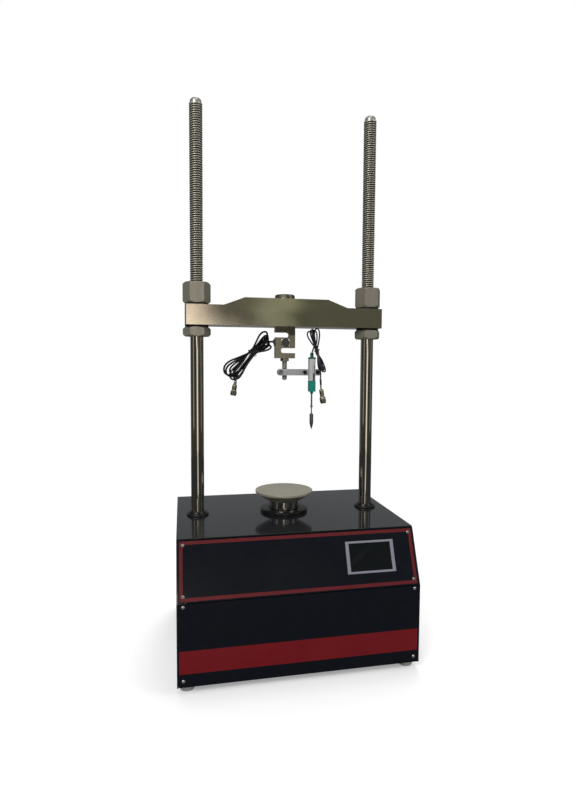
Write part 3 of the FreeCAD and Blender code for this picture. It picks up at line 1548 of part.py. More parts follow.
def transducer_body():
    """A square tube of aluminium: its lower front is open for the end cap, its sides are grooved."""
    body = new_body("gauge_body")
    section = new_sketch(body, "XY", gauge_low)
    outline(section, [
        (gauge_left, gauge_face), (gauge_right, gauge_face),
        (gauge_right, groove_front), (gauge_right - d.groove_deep, groove_front),
        (gauge_right - d.groove_deep, groove_front + d.groove_wide),
        (gauge_right, groove_front + d.groove_wide),
        (gauge_right, gauge_rear), (gauge_left, gauge_rear),
        (gauge_left, groove_front + d.groove_wide),
        (gauge_left + d.groove_deep, groove_front + d.groove_wide),
        (gauge_left + d.groove_deep, groove_front), (gauge_left, groove_front),
    ])
    pad(body, section, d.gauge_high)
    mouth = new_sketch(body, "XY", gauge_low)
    outline(mouth, rectangle((gauge_left + d.gauge_wall, gauge_right - d.gauge_wall),
                             (gauge_face, cap_rear)))
    pocket(body, mouth, d.gauge_cap_high, forward=True)
    way = new_sketch(body, "XY", gauge_low)
    circle(way, d.gauge_x, d.gauge_y, rod_hole)
    pocket(body, way, travel_room - gauge_low, forward=True)
    line = new_sketch(body, "XZ", -gauge_face)
    outline(line, rectangle((gauge_right - d.gauge_line_in - d.gauge_line_wide,
                             gauge_right - d.gauge_line_in),
                            (gauge_low + d.gauge_cap_high, gauge_top)))
    pocket(body, line, d.groove_deep)
    return keep(body, "transducer_body")


transducer_body()

lower_cap_blank = fuse(
    "lower_cap_blank",
    box("lower_cap_block",
        (gauge_left + d.gauge_wall + d.cap_gap, gauge_right - d.gauge_wall - d.cap_gap),
        (gauge_face - d.top_cap_over, cap_rear - d.cap_gap),
        (gauge_low - d.top_cap_over, gauge_low + d.gauge_cap_high)),
    rod("lower_cap_nose", d.nose_radius, gauge_spot,
        (gauge_low - d.top_cap_over - d.nose_high, gauge_low)))
keep(cut("lower_cap", lower_cap_blank,
         rod("lower_cap_bore", rod_hole, gauge_spot,
             (gauge_low - d.top_cap_over - d.nose_high, gauge_low + d.gauge_cap_high))),
     "transducer_lower_cap")

cap_top = gauge_top + d.top_cap_high
prong_top = cap_top + d.boss_high + d.prong_high
top_cap_blank = fuse(
    "top_cap_blank",
    box("top_cap_block", (gauge_left - d.top_cap_over, gauge_right + d.top_cap_over),
        (gauge_face - d.top_cap_over, gauge_rear), (gauge_top, cap_top)),
    rod("top_cap_boss", d.boss_radius, gauge_spot, (cap_top, cap_top + d.boss_high)),
    rod("top_cap_prong", d.prong_radius, gauge_spot, (cap_top, prong_top)))
keep(cut("top_cap", top_cap_blank,
         box("top_cap_slit", (d.gauge_x - d.prong_slit / 2, d.gauge_x + d.prong_slit / 2),
             (gauge_face, gauge_rear), (cap_top + d.boss_high, prong_top)),
         rod("top_cap_bore", d.gauge_cable_radius, gauge_spot, (cap_top + d.boss_high, prong_top))),
     "transducer_top_cap")

stop_top = gauge_low - d.rod_out - d.stop_gap
stop_low = stop_top - d.stop_high
tip_top = stop_low - d.thin_rod_long
taper_top = tip_top - d.tip_long
turned("plunger_body", "plunger", [
    (0, taper_top - d.tip_taper),
    (d.tip_radius * 0.12, taper_top - d.tip_taper),
    (d.tip_radius * 0.6, taper_top - d.tip_taper * 0.5),
    (d.tip_radius, taper_top),
    (d.tip_radius, tip_top - d.tip_chamfer),
    (d.tip_radius - d.tip_chamfer, tip_top),
    (d.thin_rod_radius, tip_top),
    (d.thin_rod_radius, stop_low),
    (d.stop_radius, stop_low),
    (d.stop_radius, stop_top),
    (d.rod_radius, stop_top),
    (d.rod_radius, gauge_low + d.rod_in),
    (0, gauge_low + d.rod_in),
], gauge_spot)


# Cables: each hank is one closed solid of its outer shape, with short tubes where it isn't coiled

def hank(name, node, points, y, thick):
    """A flat closed solid with a smooth outline through the hank's outer points, as x and z."""
    curve = Part.BSplineCurve()
    curve.interpolate([FreeCAD.Vector(x, y - thick / 2, z) for x, z in points], PeriodicFlag=True)
    item = doc.addObject("Part::Feature", name)
    item.Shape = Part.Face(Part.Wire(curve.toShape())).extrude(FreeCAD.Vector(0, thick, 0))
    return keep(item, node)


def corner_radius(before, corner, after):
    """The largest arc that the two runs at a corner allow, and the half turn that it makes."""
    arriving = corner - before
    leaving = after - corner
    half_turn = arriving.getAngle(leaving) / 2
    shorter = min(arriving.Length, leaving.Length)
    return 0.45 * shorter / math.tan(half_turn), half_turn


def tube(name, points, radius):
    """A round tube along straight runs joined by tangent arcs. Prints each arc's radius."""
    corners = [FreeCAD.Vector(*point) for point in points]
    edges = []
    start = corners[0]
    for before, corner, after in zip(corners, corners[1:], corners[2:]):
        bend, half_turn = corner_radius(before, corner, after)
        setback = bend * math.tan(half_turn)
        arriving = (corner - before).normalize()
        leaving = (after - corner).normalize()
        first = corner - arriving * setback
        last = corner + leaving * setback
        inward = (leaving - arriving).normalize()
        middle = corner + inward * (bend / math.cos(half_turn) - bend)
        edges.append(Part.LineSegment(start, first).toShape())
        edges.append(Part.Arc(first, middle, last).toShape())
        print(f"{name}: arc radius {bend:.1f} mm")
        start = last
    edges.append(Part.LineSegment(start, corners[-1]).toShape())
    path = Part.Wire(edges)
    heading = (corners[1] - corners[0]).normalize()
    section = Part.Wire(Part.Circle(corners[0], heading, radius).toShape())
    solid = path.makePipeShell([section], True, False)
    expected = math.pi * radius ** 2 * path.Length
    print(f"{name}: length {path.Length:.1f} mm, volume off by {abs(solid.Volume / expected - 1):.4f}")
    return solid


def cord_tube(name, node, routes, radius):
    """One or more stretches of cable in one node."""
    item = doc.addObject("Part::Feature", name)
    solids = [tube(f"{node} {number}", route, radius) for number, route in enumerate(routes)]
    item.Shape = solids[0] if len(solids) == 1 else Part.makeCompound(solids)
    return keep(item, node)


def connector(name, node, top, tip, sections):
    """A round cable connector: steps of radius along the line from its cable end to its open end."""
    start = FreeCAD.Vector(*top)
    line = FreeCAD.Vector(*tip) - start
    solid = None
    for share_from, share_to, radius in sections:
        step = Part.makeCylinder(radius, line.Length * (share_to - share_from),
                                 start + line * share_from, line)
        solid = step if solid is None else solid.fuse(step)
    mouth = sections[-1][2] - d.connector_wall.value
    solid = solid.cut(Part.makeCylinder(mouth, line.Length * 0.15, start + line * 0.85, line))
    item = doc.addObject("Part::Feature", name)
    item.Shape = solid.removeSplitter()
    return keep(item, node)


cell_plane = d.column_y.value
CELL_HANK = [
    (-44.2, 726.1), (-38.0, 720.0), (-37.2, 711.0), (-39.9, 702.3), (-33.0, 697.5), (-30.0, 692.0),
    (-34.0, 686.0), (-47.1, 680.7), (-60.4, 675.8), (-72.5, 666.1), (-84.5, 652.9), (-91.7, 639.7),
    (-102.5, 621.8), (-112.1, 613.4), (-121.6, 609.2), (-129.9, 614.6), (-137.5, 627.6),
    (-145.2, 643.0), (-139.3, 651.3), (-126.3, 658.5), (-108.5, 666.9), (-90.5, 676.6),
    (-78.6, 683.9), (-67.7, 697.1), (-60.5, 707.9), (-52.1, 722.4),
]
hank("cell_hank", "cell_cable_hank", CELL_HANK, cell_plane, d.hank_thick.value)
cord_tube("cell_lead", "cell_cable_lead", [
    [(gland_end.value, cell_plane, gland_z.value), (-39.4, cell_plane, gland_z.value)],
], d.cell_cable_radius.value)
connector("cell_plug", "cell_connector", (-116.3, cell_plane, 611.3), (-122.2, cell_plane, 575.2),
          [(0, 0.33, 3.7), (0.33, 0.7, 5.6), (0.7, 1, 7.3)])

gauge_plane = d.gauge_cable_y.value
GAUGE_HANK = [
    (56.8, 731.3), (66.4, 731.8), (74.2, 722.7), (76.3, 709.8), (75.8, 696.9), (76.5, 681.4),
    (82.8, 668.6), (88.3, 655.8), (92.5, 641.5), (93.2, 633.7), (90.0, 628.5), (85.0, 626.5),
    (79.6, 636.3), (75.3, 646.6), (72.3, 658.3), (70.6, 668.2), (65.2, 680.0), (57.1, 692.8),
    (49.0, 706.8), (47.0, 717.1), (49.6, 724.5),
]
hank("gauge_hank", "transducer_cable_hank", GAUGE_HANK, gauge_plane, d.gauge_hank_thick.value)
gauge_plug_top = (83.4, gauge_plane, 592.0)
cord_tube("gauge_leads", "transducer_cable_leads", [
    [(d.gauge_x.value, d.gauge_y.value, cap_top.value + d.boss_high.value),
     (d.gauge_x.value - 0.4, d.gauge_y.value - 1, prong_top.value + 2),
     (d.gauge_x.value - 0.6, gauge_plane, 689)],
    [(81.9, gauge_plane, 631.2), (82.2, gauge_plane, 611.0), gauge_plug_top],
], d.gauge_cable_radius.value)
connector("gauge_plug", "transducer_connector", gauge_plug_top, (89.4, gauge_plane, 557.2),
          [(0, 0.07, 2.6), (0.07, 0.62, 5.3), (0.62, 1, 7.2)])


# Check every object, then write each sub-part to its own file

doc.recompute()
for item in doc.Objects:
    if any(word in item.State for word in ("Invalid", "Error")):
        raise RuntimeError(f"{item.Label} failed: {item.State}")
for item in sub_parts:
    if item.Shape.isNull() or not item.Shape.isValid():
        raise RuntimeError(f"{item.Label} has no valid shape")
os.makedirs("parts", exist_ok=True)
for item in sub_parts:
    item.Shape.exportStep(f"parts/{item.Label}.step")
    print(f"{item.Label}: {len(item.Shape.Solids)} solid(s), {item.Shape.Volume / 1000:.1f} cm3")
print(f"{len(sub_parts)} sub-parts")
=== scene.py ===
# %% [markdown]
# # A load frame for triaxial tests, dressed for a studio picture
#
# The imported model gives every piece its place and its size. This script gives the pieces their looks: threads,
# knurls, rounded edges, cables and finishes. Everything is in metres, in the frame's own coordinates, so a new
# piece is built exactly where the frame says and nothing is fitted by eye.

# %% Load the frame
import math

import bmesh
import bpy
import numpy as np
from mathutils import Matrix, Vector


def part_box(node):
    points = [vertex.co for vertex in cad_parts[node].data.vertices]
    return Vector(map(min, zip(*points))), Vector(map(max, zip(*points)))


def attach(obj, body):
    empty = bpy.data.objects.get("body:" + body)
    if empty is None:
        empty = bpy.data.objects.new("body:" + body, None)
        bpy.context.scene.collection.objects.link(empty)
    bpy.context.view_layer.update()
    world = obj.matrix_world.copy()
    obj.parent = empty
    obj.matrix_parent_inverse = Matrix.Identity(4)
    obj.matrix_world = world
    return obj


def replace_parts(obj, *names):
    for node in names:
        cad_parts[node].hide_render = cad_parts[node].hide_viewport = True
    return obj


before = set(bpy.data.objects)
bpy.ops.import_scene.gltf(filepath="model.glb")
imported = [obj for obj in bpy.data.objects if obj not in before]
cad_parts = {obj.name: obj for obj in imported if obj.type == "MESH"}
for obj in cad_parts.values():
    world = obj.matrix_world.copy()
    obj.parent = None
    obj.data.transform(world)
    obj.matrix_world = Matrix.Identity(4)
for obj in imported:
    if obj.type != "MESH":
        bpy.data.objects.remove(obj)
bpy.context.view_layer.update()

# %% [markdown]
# ## Camera
#
# A camera can be aimed by rotation angles or by its three own directions. Here the directions are worked out
# first, because yaw, pitch and roll can then each be read as one plain number. The lens and the place were found
# by lining up nineteen corners of the real frame and the middle lines of its columns.

# %% The camera
CAMERA_PLACE = (-0.2389, -1.2053, 0.6438)
CAMERA_YAW, CAMERA_PITCH, CAMERA_ROLL = (math.radians(angle) for angle in (11.423, 3.666, 0.321))
LENS, SENSOR = 23.60, 36.0


def add_object(name, data):
    """A new object in the scene."""
    item = bpy.data.objects.new(name, data)
    bpy.context.scene.collection.objects.link(item)
    return item


def make_camera():
    """Forward comes from yaw and pitch; right and up are then turned about it by the roll."""
    forward = Vector((math.sin(CAMERA_YAW) * math.cos(CAMERA_PITCH),
                      math.cos(CAMERA_YAW) * math.cos(CAMERA_PITCH), -math.sin(CAMERA_PITCH)))
    right = Vector((math.cos(CAMERA_YAW), -math.sin(CAMERA_YAW), 0))
    up = right.cross(forward)
    rolled_right = right * math.cos(CAMERA_ROLL) + up * math.sin(CAMERA_ROLL)
    rolled_up = up * math.cos(CAMERA_ROLL) - right * math.sin(CAMERA_ROLL)
    data = bpy.data.cameras.new("studio_camera")
    data.sensor_fit = "VERTICAL"
    data.sensor_height = SENSOR
    data.lens = LENS
    data.clip_end = 50
    camera = add_object("studio_camera", data)
    turn = Matrix((rolled_right, rolled_up, -forward)).transposed().to_4x4()
    camera.matrix_world = Matrix.Translation(CAMERA_PLACE) @ turn
    bpy.context.scene.camera = camera


make_camera()
print("camera stands", round(Vector(CAMERA_PLACE).length, 3), "m from the frame's origin")

# %% [markdown]
# ## Shader tools
#
# Three effects come back in many finishes: fine streaks from brushing or turning, uneven handling that changes
# the gloss, and the broad bands that grinding leaves. Each is a node group, built once, that puts out only
# masks. The colours and the shader itself stay in each material, where they are easy to read and to change.

# %% Node groups


def link(tree, source, target):
    tree.links.new(source, target)


def new_group(name, inputs, outputs):
    """An empty shader group with its sockets, and the nodes that carry them."""
    tree = bpy.data.node_groups.new(name, "ShaderNodeTree")
    for socket_name, kind, value in inputs:
        socket = tree.interface.new_socket(socket_name, in_out="INPUT", socket_type=kind)
        if value is not None:
            socket.default_value = value
    for socket_name in outputs:
        tree.interface.new_socket(socket_name, in_out="OUTPUT", socket_type="NodeSocketFloat")
    return tree, tree.nodes.new("NodeGroupInput"), tree.nodes.new("NodeGroupOutput")


def add_noise(tree, vector, scale, detail=3.0, roughness=0.55):
    """A noise texture; its scale is a number or a socket."""
    noise = tree.nodes.new("ShaderNodeTexNoise")
    noise.inputs["Detail"].default_value = detail
    noise.inputs["Roughness"].default_value = roughness
    link(tree, vector, noise.inputs["Vector"])
    if isinstance(scale, (int, float)):
        noise.inputs["Scale"].default_value = scale
    else:
        link(tree, scale, noise.inputs["Scale"])
    return noise.outputs["Fac"]


def remap(tree, value, low, high, to_low=0.0, to_high=1.0):
    """A straight change of range, held between its two ends."""
    node = tree.nodes.new("ShaderNodeMapRange")
    link(tree, value, node.inputs["Value"])
    for socket, number in (("From Min", low), ("From Max", high), ("To Min", to_low), ("To Max", to_high)):
        node.inputs[socket].default_value = number
    return node.outputs["Result"]


def combine(tree, operation, first, second):
    """One arithmetic step between two sockets or numbers."""
    node = tree.nodes.new("ShaderNodeMath")
    node.operation = operation
    for socket, value in zip(node.inputs, (first, second)):
        if isinstance(value, (int, float)):
            socket.default_value = value
        else:
            link(tree, value, socket)
    return node.outputs["Value"]


def build_streaks():
    """Fine scratches: two layers of stretched noise, one coarse and one fine, added."""
    tree, given, result = new_group(
        "tool_streaks", [("Vector", "NodeSocketVector", None), ("Scale", "NodeSocketFloat", 1.0)], ["Mask"])
    coarse = add_noise(tree, given.outputs["Vector"], given.outputs["Scale"], 2.0)
    fine = add_noise(tree, given.outputs["Vector"],
                     combine(tree, "MULTIPLY", given.outputs["Scale"], 3.7), 4.0, 0.7)
    both = combine(tree, "ADD", combine(tree, "MULTIPLY", coarse, 0.55), combine(tree, "MULTIPLY", fine, 0.45))
    link(tree, remap(tree, both, 0.3, 0.7), result.inputs["Mask"])
    return tree


def build_handling():
    """Smudges: soft cloudy noise broken up by a finer layer."""
    tree, given, result = new_group(
        "handling_marks", [("Vector", "NodeSocketVector", None), ("Scale", "NodeSocketFloat", 9.0)], ["Mask"])
    cloud = add_noise(tree, given.outputs["Vector"], given.outputs["Scale"], 4.0, 0.6)
    speck = add_noise(tree, given.outputs["Vector"],
                      combine(tree, "MULTIPLY", given.outputs["Scale"], 11.0), 2.0)
    both = combine(tree, "MULTIPLY", cloud, combine(tree, "ADD", combine(tree, "MULTIPLY", speck, 0.2), 0.9))
    link(tree, remap(tree, both, 0.34, 0.66), result.inputs["Mask"])
    return tree


def build_bands():
    """Broad soft bands: stretched noise at a large scale, for the slow waves that grinding leaves."""
    tree, given, result = new_group(
        "grinding_bands", [("Vector", "NodeSocketVector", None), ("Scale", "NodeSocketFloat", 60.0)], ["Mask"])
    wave = add_noise(tree, given.outputs["Vector"], given.outputs["Scale"], 1.0, 0.4)
    link(tree, remap(tree, wave, 0.32, 0.68), result.inputs["Mask"])
    return tree


GROUPS = {"streaks": build_streaks(), "handling": build_handling(), "bands": build_bands()}
print("shader groups:", ", ".join(tree.name for tree in GROUPS.values()))

# %% [markdown]
# ## One recipe for the finishes
#
# Most finishes of a machine differ only in numbers: two close colours that the streaks mix, a gloss that
# handling varies, and how deep the marks are. One function with named values keeps them alike. Rounded edges
# get a brighter finish of their own, partly rubbed wear and partly a painted highlight, which the bevel puts
# on its faces. What is the same all over a surface is set on the shader's own socket.

# %% The recipe
HANDLING_SCALE = 9.0


def place_group(tree, kind, vector, **values):
    node = tree.nodes.new("ShaderNodeGroup")
    node.node_tree = GROUPS[kind]
    link(tree, vector, node.inputs["Vector"])
    for socket, number in values.items():
        node.inputs[socket].default_value = number
    return node.outputs["Mask"]


def mix_colours(tree, mask, first, second):
    """Mix two colours, each given as numbers or as a socket."""
    node = tree.nodes.new("ShaderNodeMix")
    node.data_type = "RGBA"
    link(tree, mask, node.inputs[0])
    for socket, colour in ((node.inputs[6], first), (node.inputs[7], second)):
        if isinstance(colour, tuple):
            socket.default_value = (*colour, 1)
        else:
            link(tree, colour, socket)
    return node.outputs[2]


def make_finish(name, colour, other, gloss=(0.3, 0.4), metal=0.0, stretch=(1, 1, 1), scale=40.0,
                depth=0.0, bump_scale=None, bands=None, coat=0.0, specular=0.5):
    """A finish: streaks mix two colours, handling varies the roughness, streaks and bands raise the surface."""
    material = bpy.data.materials.new(name)
    material.use_nodes = True
    tree = material.node_tree
    shader = tree.nodes["Principled BSDF"]
    place = tree.nodes.new("ShaderNodeTexCoord").outputs["Object"]
    mapping = tree.nodes.new("ShaderNodeMapping")
    mapping.inputs["Scale"].default_value = stretch
    link(tree, place, mapping.inputs["Vector"])
    streaks = place_group(tree, "streaks", mapping.outputs["Vector"], Scale=scale)
    marks = place_group(tree, "handling", place, Scale=HANDLING_SCALE)
    link(tree, mix_colours(tree, streaks, colour, other), shader.inputs["Base Color"])
    link(tree, remap(tree, marks, 0.0, 1.0, *gloss), shader.inputs["Roughness"])
    shader.inputs["Metallic"].default_value = metal
    shader.inputs["Specular IOR Level"].default_value = specular
    shader.inputs["Coat Weight"].default_value = coat
    normal = None
    if bands is not None:
        band_scale, band_depth, band_stretch = bands
        turned_place = tree.nodes.new("ShaderNodeMapping")
        turned_place.inputs["Scale"].default_value = band_stretch
        link(tree, place, turned_place.inputs["Vector"])
        wave = place_group(tree, "bands", turned_place.outputs["Vector"], Scale=band_scale)
        normal = add_bump(tree, wave, band_depth, normal)
    if depth:
        height = streaks if bump_scale is None else add_noise(tree, place, bump_scale, 2.0)
        normal = add_bump(tree, height, depth, normal)
    if normal is not None:
        link(tree, normal, shader.inputs["Normal"])
    return material


def add_bump(tree, height, depth, before=None):
    """Raise the surface by a mask times a depth in metres, on top of an earlier bump."""
    bump = tree.nodes.new("ShaderNodeBump")
    bump.inputs["Strength"].default_value = 1.0
    bump.inputs["Distance"].default_value = depth
    link(tree, height, bump.inputs["Height"])
    if before is not None:
        link(tree, before, bump.inputs["Normal"])
    return bump.outputs["Normal"]


# %% [markdown]
# ## The finishes
#
# Colours are linear values. The plated steel of this frame is warm, between nickel and brass, so its reds and
# greens stay above its blues. The enamel is nearly black, and what is seen on it is mostly reflection, so its
# faint orange peel and its uneven gloss matter more than its colour.

# %% Materials
ALONG_X, ALONG_Z, ACROSS = (0.04, 1, 1), (1, 1, 0.04), (1, 1, 6)
UPRIGHT_BANDS = (70.0, 0.0006, (1, 1, 0.06))
FINISHES = {
    "enamel": make_finish("gloss_black_enamel", (0.0075, 0.0085, 0.011), (0.012, 0.013, 0.016), (0.07, 0.16),
                          depth=0.00002, bump_scale=700.0, coat=0.4, specular=0.45),
    "panel_enamel": make_finish("panel_enamel", (0.0052, 0.0064, 0.0096), (0.0072, 0.0086, 0.0122),
                                (0.16, 0.26), depth=0.00002, bump_scale=900.0, specular=0.13),
    "red_film": make_finish("red_film", (0.138, 0.0055, 0.0085), (0.158, 0.008, 0.011), (0.30, 0.40), scale=14.0,
                            depth=0.00001, bump_scale=1500.0, specular=0.12),
    "red_border": make_finish("red_border", (0.098, 0.011, 0.013), (0.125, 0.017, 0.020), (0.25, 0.35),
                              scale=14.0, depth=0.00001, bump_scale=1500.0, specular=0.2),
    "display_surround": make_finish("satin_silver_surround", (0.25, 0.265, 0.315), (0.30, 0.315, 0.365),
                                    (0.32, 0.42), metal=0.35, stretch=ALONG_X, scale=300.0, depth=0.00001),
    "display_glass": make_finish("dark_display_glass", (0.006, 0.0075, 0.0085), (0.008, 0.0095, 0.0105),
                                 (0.08, 0.14), specular=0.10, scale=6.0),
    "satin_nickel": make_finish("satin_nickel", (0.45, 0.435, 0.34), (0.50, 0.485, 0.39), (0.14, 0.20),
                                metal=1.0, stretch=ALONG_X, scale=420.0, depth=0.000008),
    # The two edge finishes are brighter than their surfaces: partly rubbed wear, partly a painted highlight on
    # the edges.
    "rubbed_nickel": make_finish("rubbed_nickel", (0.58, 0.56, 0.49), (0.66, 0.64, 0.57), (0.22, 0.32),
                                 metal=1.0, scale=300.0),
    "rubbed_aluminium_and_highlight": make_finish("rubbed_aluminium_and_highlight", (0.66, 0.66, 0.66), (0.74, 0.74, 0.74), (0.3, 0.4),
                                    metal=0.8, scale=300.0),
    "nut_steel": make_finish("turned_nut_steel", (0.27, 0.25, 0.20), (0.32, 0.30, 0.24), (0.44, 0.52),
                             metal=0.6, stretch=ACROSS, scale=160.0, depth=0.000008, bands=UPRIGHT_BANDS),
    "chrome": make_finish("polished_column", (0.49, 0.475, 0.42), (0.50, 0.485, 0.43), (0.05, 0.09),
                          metal=1.0, stretch=ACROSS, scale=20.0),
    "ram_chrome": make_finish("hard_chromed_ram", (0.40, 0.405, 0.41), (0.42, 0.425, 0.43), (0.06, 0.10),
                              metal=1.0, stretch=ACROSS, scale=20.0),
    "platen_steel": make_finish("ground_platen_steel", (0.36, 0.345, 0.265), (0.40, 0.385, 0.30), (0.34, 0.42),
                                metal=0.45, scale=60.0),
    "black_oxide": make_finish("black_oxide", (0.014, 0.014, 0.014), (0.028, 0.027, 0.025), (0.3, 0.45),
                               metal=0.6, scale=120.0, depth=0.00001),
    "collar_steel": make_finish("dark_polished_collar", (0.016, 0.016, 0.015), (0.026, 0.026, 0.024),
                                (0.22, 0.32), metal=0.6, scale=120.0),
    "aluminium": make_finish("clear_anodised_aluminium", (0.41, 0.42, 0.43), (0.46, 0.47, 0.48), (0.42, 0.55),
                             metal=0.6, stretch=ALONG_X, scale=500.0, depth=0.00001),
    "gauge_aluminium": make_finish("drawn_aluminium", (0.55, 0.555, 0.55), (0.60, 0.605, 0.60), (0.42, 0.52),
                                   metal=0.35, stretch=ALONG_Z, scale=600.0, depth=0.00001),
    "green_plastic": make_finish("moulded_green_plastic", (0.002, 0.180, 0.126), (0.003, 0.205, 0.144),
                                 (0.34, 0.46), scale=200.0, depth=0.00002, bump_scale=2500.0, specular=0.3),
    "dark_green_plastic": make_finish("dark_green_plastic", (0.014, 0.085, 0.056), (0.020, 0.105, 0.070),
                                      (0.4, 0.5), scale=200.0, depth=0.00002, bump_scale=2500.0,
                                      specular=0.3),
    "black_jacket": make_finish("black_cable_jacket", (0.0040, 0.0040, 0.0043), (0.007, 0.007, 0.0074),
                                (0.28, 0.40), scale=90.0, depth=0.00003, bump_scale=700.0, specular=0.3),
    "navy_jacket": make_finish("navy_cable_jacket", (0.008, 0.010, 0.018), (0.013, 0.016, 0.027),
                               (0.30, 0.42), scale=90.0, depth=0.00003, bump_scale=700.0),
    "connector_nickel": make_finish("dull_nickel_connector", (0.26, 0.24, 0.19), (0.36, 0.34, 0.28),
                                    (0.22, 0.36), metal=1.0, scale=200.0),
    "plunger_steel": make_finish("ground_plunger_steel", (0.22, 0.22, 0.22), (0.30, 0.30, 0.295), (0.25, 0.35),
                                 metal=1.0, stretch=ACROSS, scale=300.0),
    "tip_steel": make_finish("dark_tip_steel", (0.115, 0.115, 0.12), (0.16, 0.16, 0.165), (0.32, 0.45),
                             metal=0.8, stretch=ACROSS, scale=300.0),
    "screw_steel": make_finish("bright_screw_steel", (0.50, 0.50, 0.48), (0.57, 0.57, 0.55), (0.26, 0.36),
                               metal=0.8, scale=400.0),
    "zinc": make_finish("bright_zinc", (0.42, 0.425, 0.43), (0.54, 0.545, 0.55), (0.28, 0.45), metal=1.0,
                        scale=45.0, depth=0.00001),
    "machined": make_finish("machined_steel", (0.36, 0.36, 0.355), (0.44, 0.44, 0.435), (0.25, 0.4), metal=1.0,
                            stretch=ALONG_X, scale=260.0, depth=0.00002),
    "bronze": make_finish("sintered_bronze", (0.42, 0.26, 0.11), (0.52, 0.34, 0.16), (0.3, 0.45), metal=1.0,
                          scale=300.0, depth=0.00002),
    "motor_black": make_finish("satin_motor_black", (0.018, 0.018, 0.019), (0.030, 0.030, 0.031), (0.35, 0.5),
                               scale=150.0, depth=0.00003, bump_scale=1200.0),
    "board_green": make_finish("green_solder_mask", (0.012, 0.095, 0.040), (0.020, 0.125, 0.055), (0.25, 0.4),
                               scale=120.0),
    "black_plastic": make_finish("moulded_black_plastic", (0.012, 0.012, 0.0125), (0.020, 0.020, 0.0205),
                                 (0.3, 0.42), scale=160.0, depth=0.00002, bump_scale=1800.0),
    "cover_black": make_finish("black_gauge_cover", (0.026, 0.025, 0.022), (0.040, 0.038, 0.034), (0.4, 0.55),
                               scale=260.0, depth=0.00002, bump_scale=2600.0),
    "foot_steel": make_finish("levelling_foot_steel", (0.52, 0.515, 0.49), (0.60, 0.595, 0.57), (0.35, 0.5),
                              metal=0.3, scale=160.0),
}
print(len(FINISHES), "finishes")

# %% [markdown]
# ## Surfaces from numbers
#
# Turned parts, nuts, threads and screws are all a radius that depends on the angle and on the height. Each is
# worked out as one array of points and joined by one array of faces. A modifier then rounds the edges, because
# an edge without a highlight looks like paper.

# %% Mesh helpers
WELD = 1e-6


def grid_faces(rows, columns, tube=False):
    """Quads between neighbours of a grid whose last column meets its first; a tube also joins its end rows."""
    row = np.arange(rows if tube else rows - 1)[:, None]
    column = np.arange(columns)[None, :]
    after_row, after_column = (row + 1) % rows, (column + 1) % columns
    corners = [row * columns + column, row * columns + after_column,
               after_row * columns + after_column, after_row * columns + column]
    return np.stack(corners, axis=-1).reshape(-1, 4)


def new_piece(name, points, faces, body, finish, slot, edge=0.0, steps=2, sharp=35.0, rubbed=None):
    """Put points and faces into an object, weld its seams, round its edges and hang it on its body."""
    mesh = bpy.data.meshes.new(name)
    mesh.from_pydata(points.reshape(-1, 3).tolist(), [], [list(face) for face in faces])
    piece = add_object(name, mesh)
    weld(mesh)
    return dress(piece, body, finish, edge, steps, sharp, rubbed)


def weld(mesh, flatten=False):
    """Merge points that lie together; flattening also joins triangles that share a plane."""
    work = bmesh.new()
    work.from_mesh(mesh)
    bmesh.ops.remove_doubles(work, verts=work.verts, dist=WELD)
    if flatten:
        bmesh.ops.dissolve_limit(work, angle_limit=math.radians(1.0), verts=work.verts, edges=work.edges)
    work.to_mesh(mesh)
    work.free()


def dress(piece, body, finish, edge=0.0, steps=2, sharp=35.0, rubbed=None):
    """Smooth shading, rounded edges with a brighter finish of their own (wear and a painted highlight), the
    finish and the body to ride on.
    """
    mesh = piece.data
    mesh.materials.clear()
    mesh.materials.append(FINISHES[finish])
    mesh.polygons.foreach_set("use_smooth", np.ones(len(mesh.polygons), bool))
    mesh.set_sharp_from_angle(angle=math.radians(sharp))
    if edge:
        bevel = piece.modifiers.new("rounded_edges", "BEVEL")
        bevel.width = edge
        bevel.segments = steps
        bevel.limit_method = "ANGLE"
        bevel.angle_limit = math.radians(sharp)
        bevel.harden_normals = True
        if rubbed:
            mesh.materials.append(FINISHES[rubbed])
            bevel.material = 1
    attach(piece, body)
    return piece


def spun(radii, heights):
    """Points of a turned surface round the Z axis, from its radii and heights by row and angle."""
    angle = np.linspace(0, 2 * np.pi, radii.shape[1], endpoint=False)
    return np.stack([radii * np.cos(angle), radii * np.sin(angle), heights], axis=-1)


def stand(points, place, axis=(0, 0, 1)):
    """Turn points from the Z axis to another axis and move them to their place."""
    turn = np.array(Vector((0, 0, 1)).rotation_difference(Vector(axis)).to_matrix())
    return points @ turn.T + np.array(place)


def as_columns(profile):
    """The radii and heights of a profile as two upright arrays."""
    profile = np.array(profile, float)
    return profile[:, :1], profile[:, 1:]


def surface(count, *rows):
    """Radii and heights by row and angle, from pairs of numbers, upright arrays or full arrays."""
    full = [np.broadcast_arrays(*np.atleast_2d(*pair), np.ones((1, count)))[:2] for pair in rows]
    return [np.concatenate(part) for part in zip(*full)]


def spun_part(radii, heights, place, axis=(0, 0, 1), tube=False):
    """Points and faces of one turned surface, stood at its place."""
    return stand(spun(radii, heights), place, axis), grid_faces(*radii.shape, tube)


def turned_part(profile, place, count, axis=(0, 0, 1), tube=False):
    """The same from a profile: each of its points becomes a ring of its radius at its height."""
    return spun_part(*surface(count, as_columns(profile)), place, axis, tube)


def turned(name, profile, place, body, finish, slot, count=96, edge=0.0004, axis=(0, 0, 1), tube=False):
    """A piece from one profile."""
    return new_piece(name, *turned_part(profile, place, count, axis, tube), body, finish, slot, edge)


def join_points(parts):
    """Several point grids with their faces as one: each part's faces are numbered on from the last."""
    points, faces, start = [], [], 0
    for part, quads in parts:
        points.append(part.reshape(-1, 3))
        faces += [[corner + start for corner in quad] for quad in quads.tolist()]
        start += len(points[-1])
    return np.concatenate(points), faces


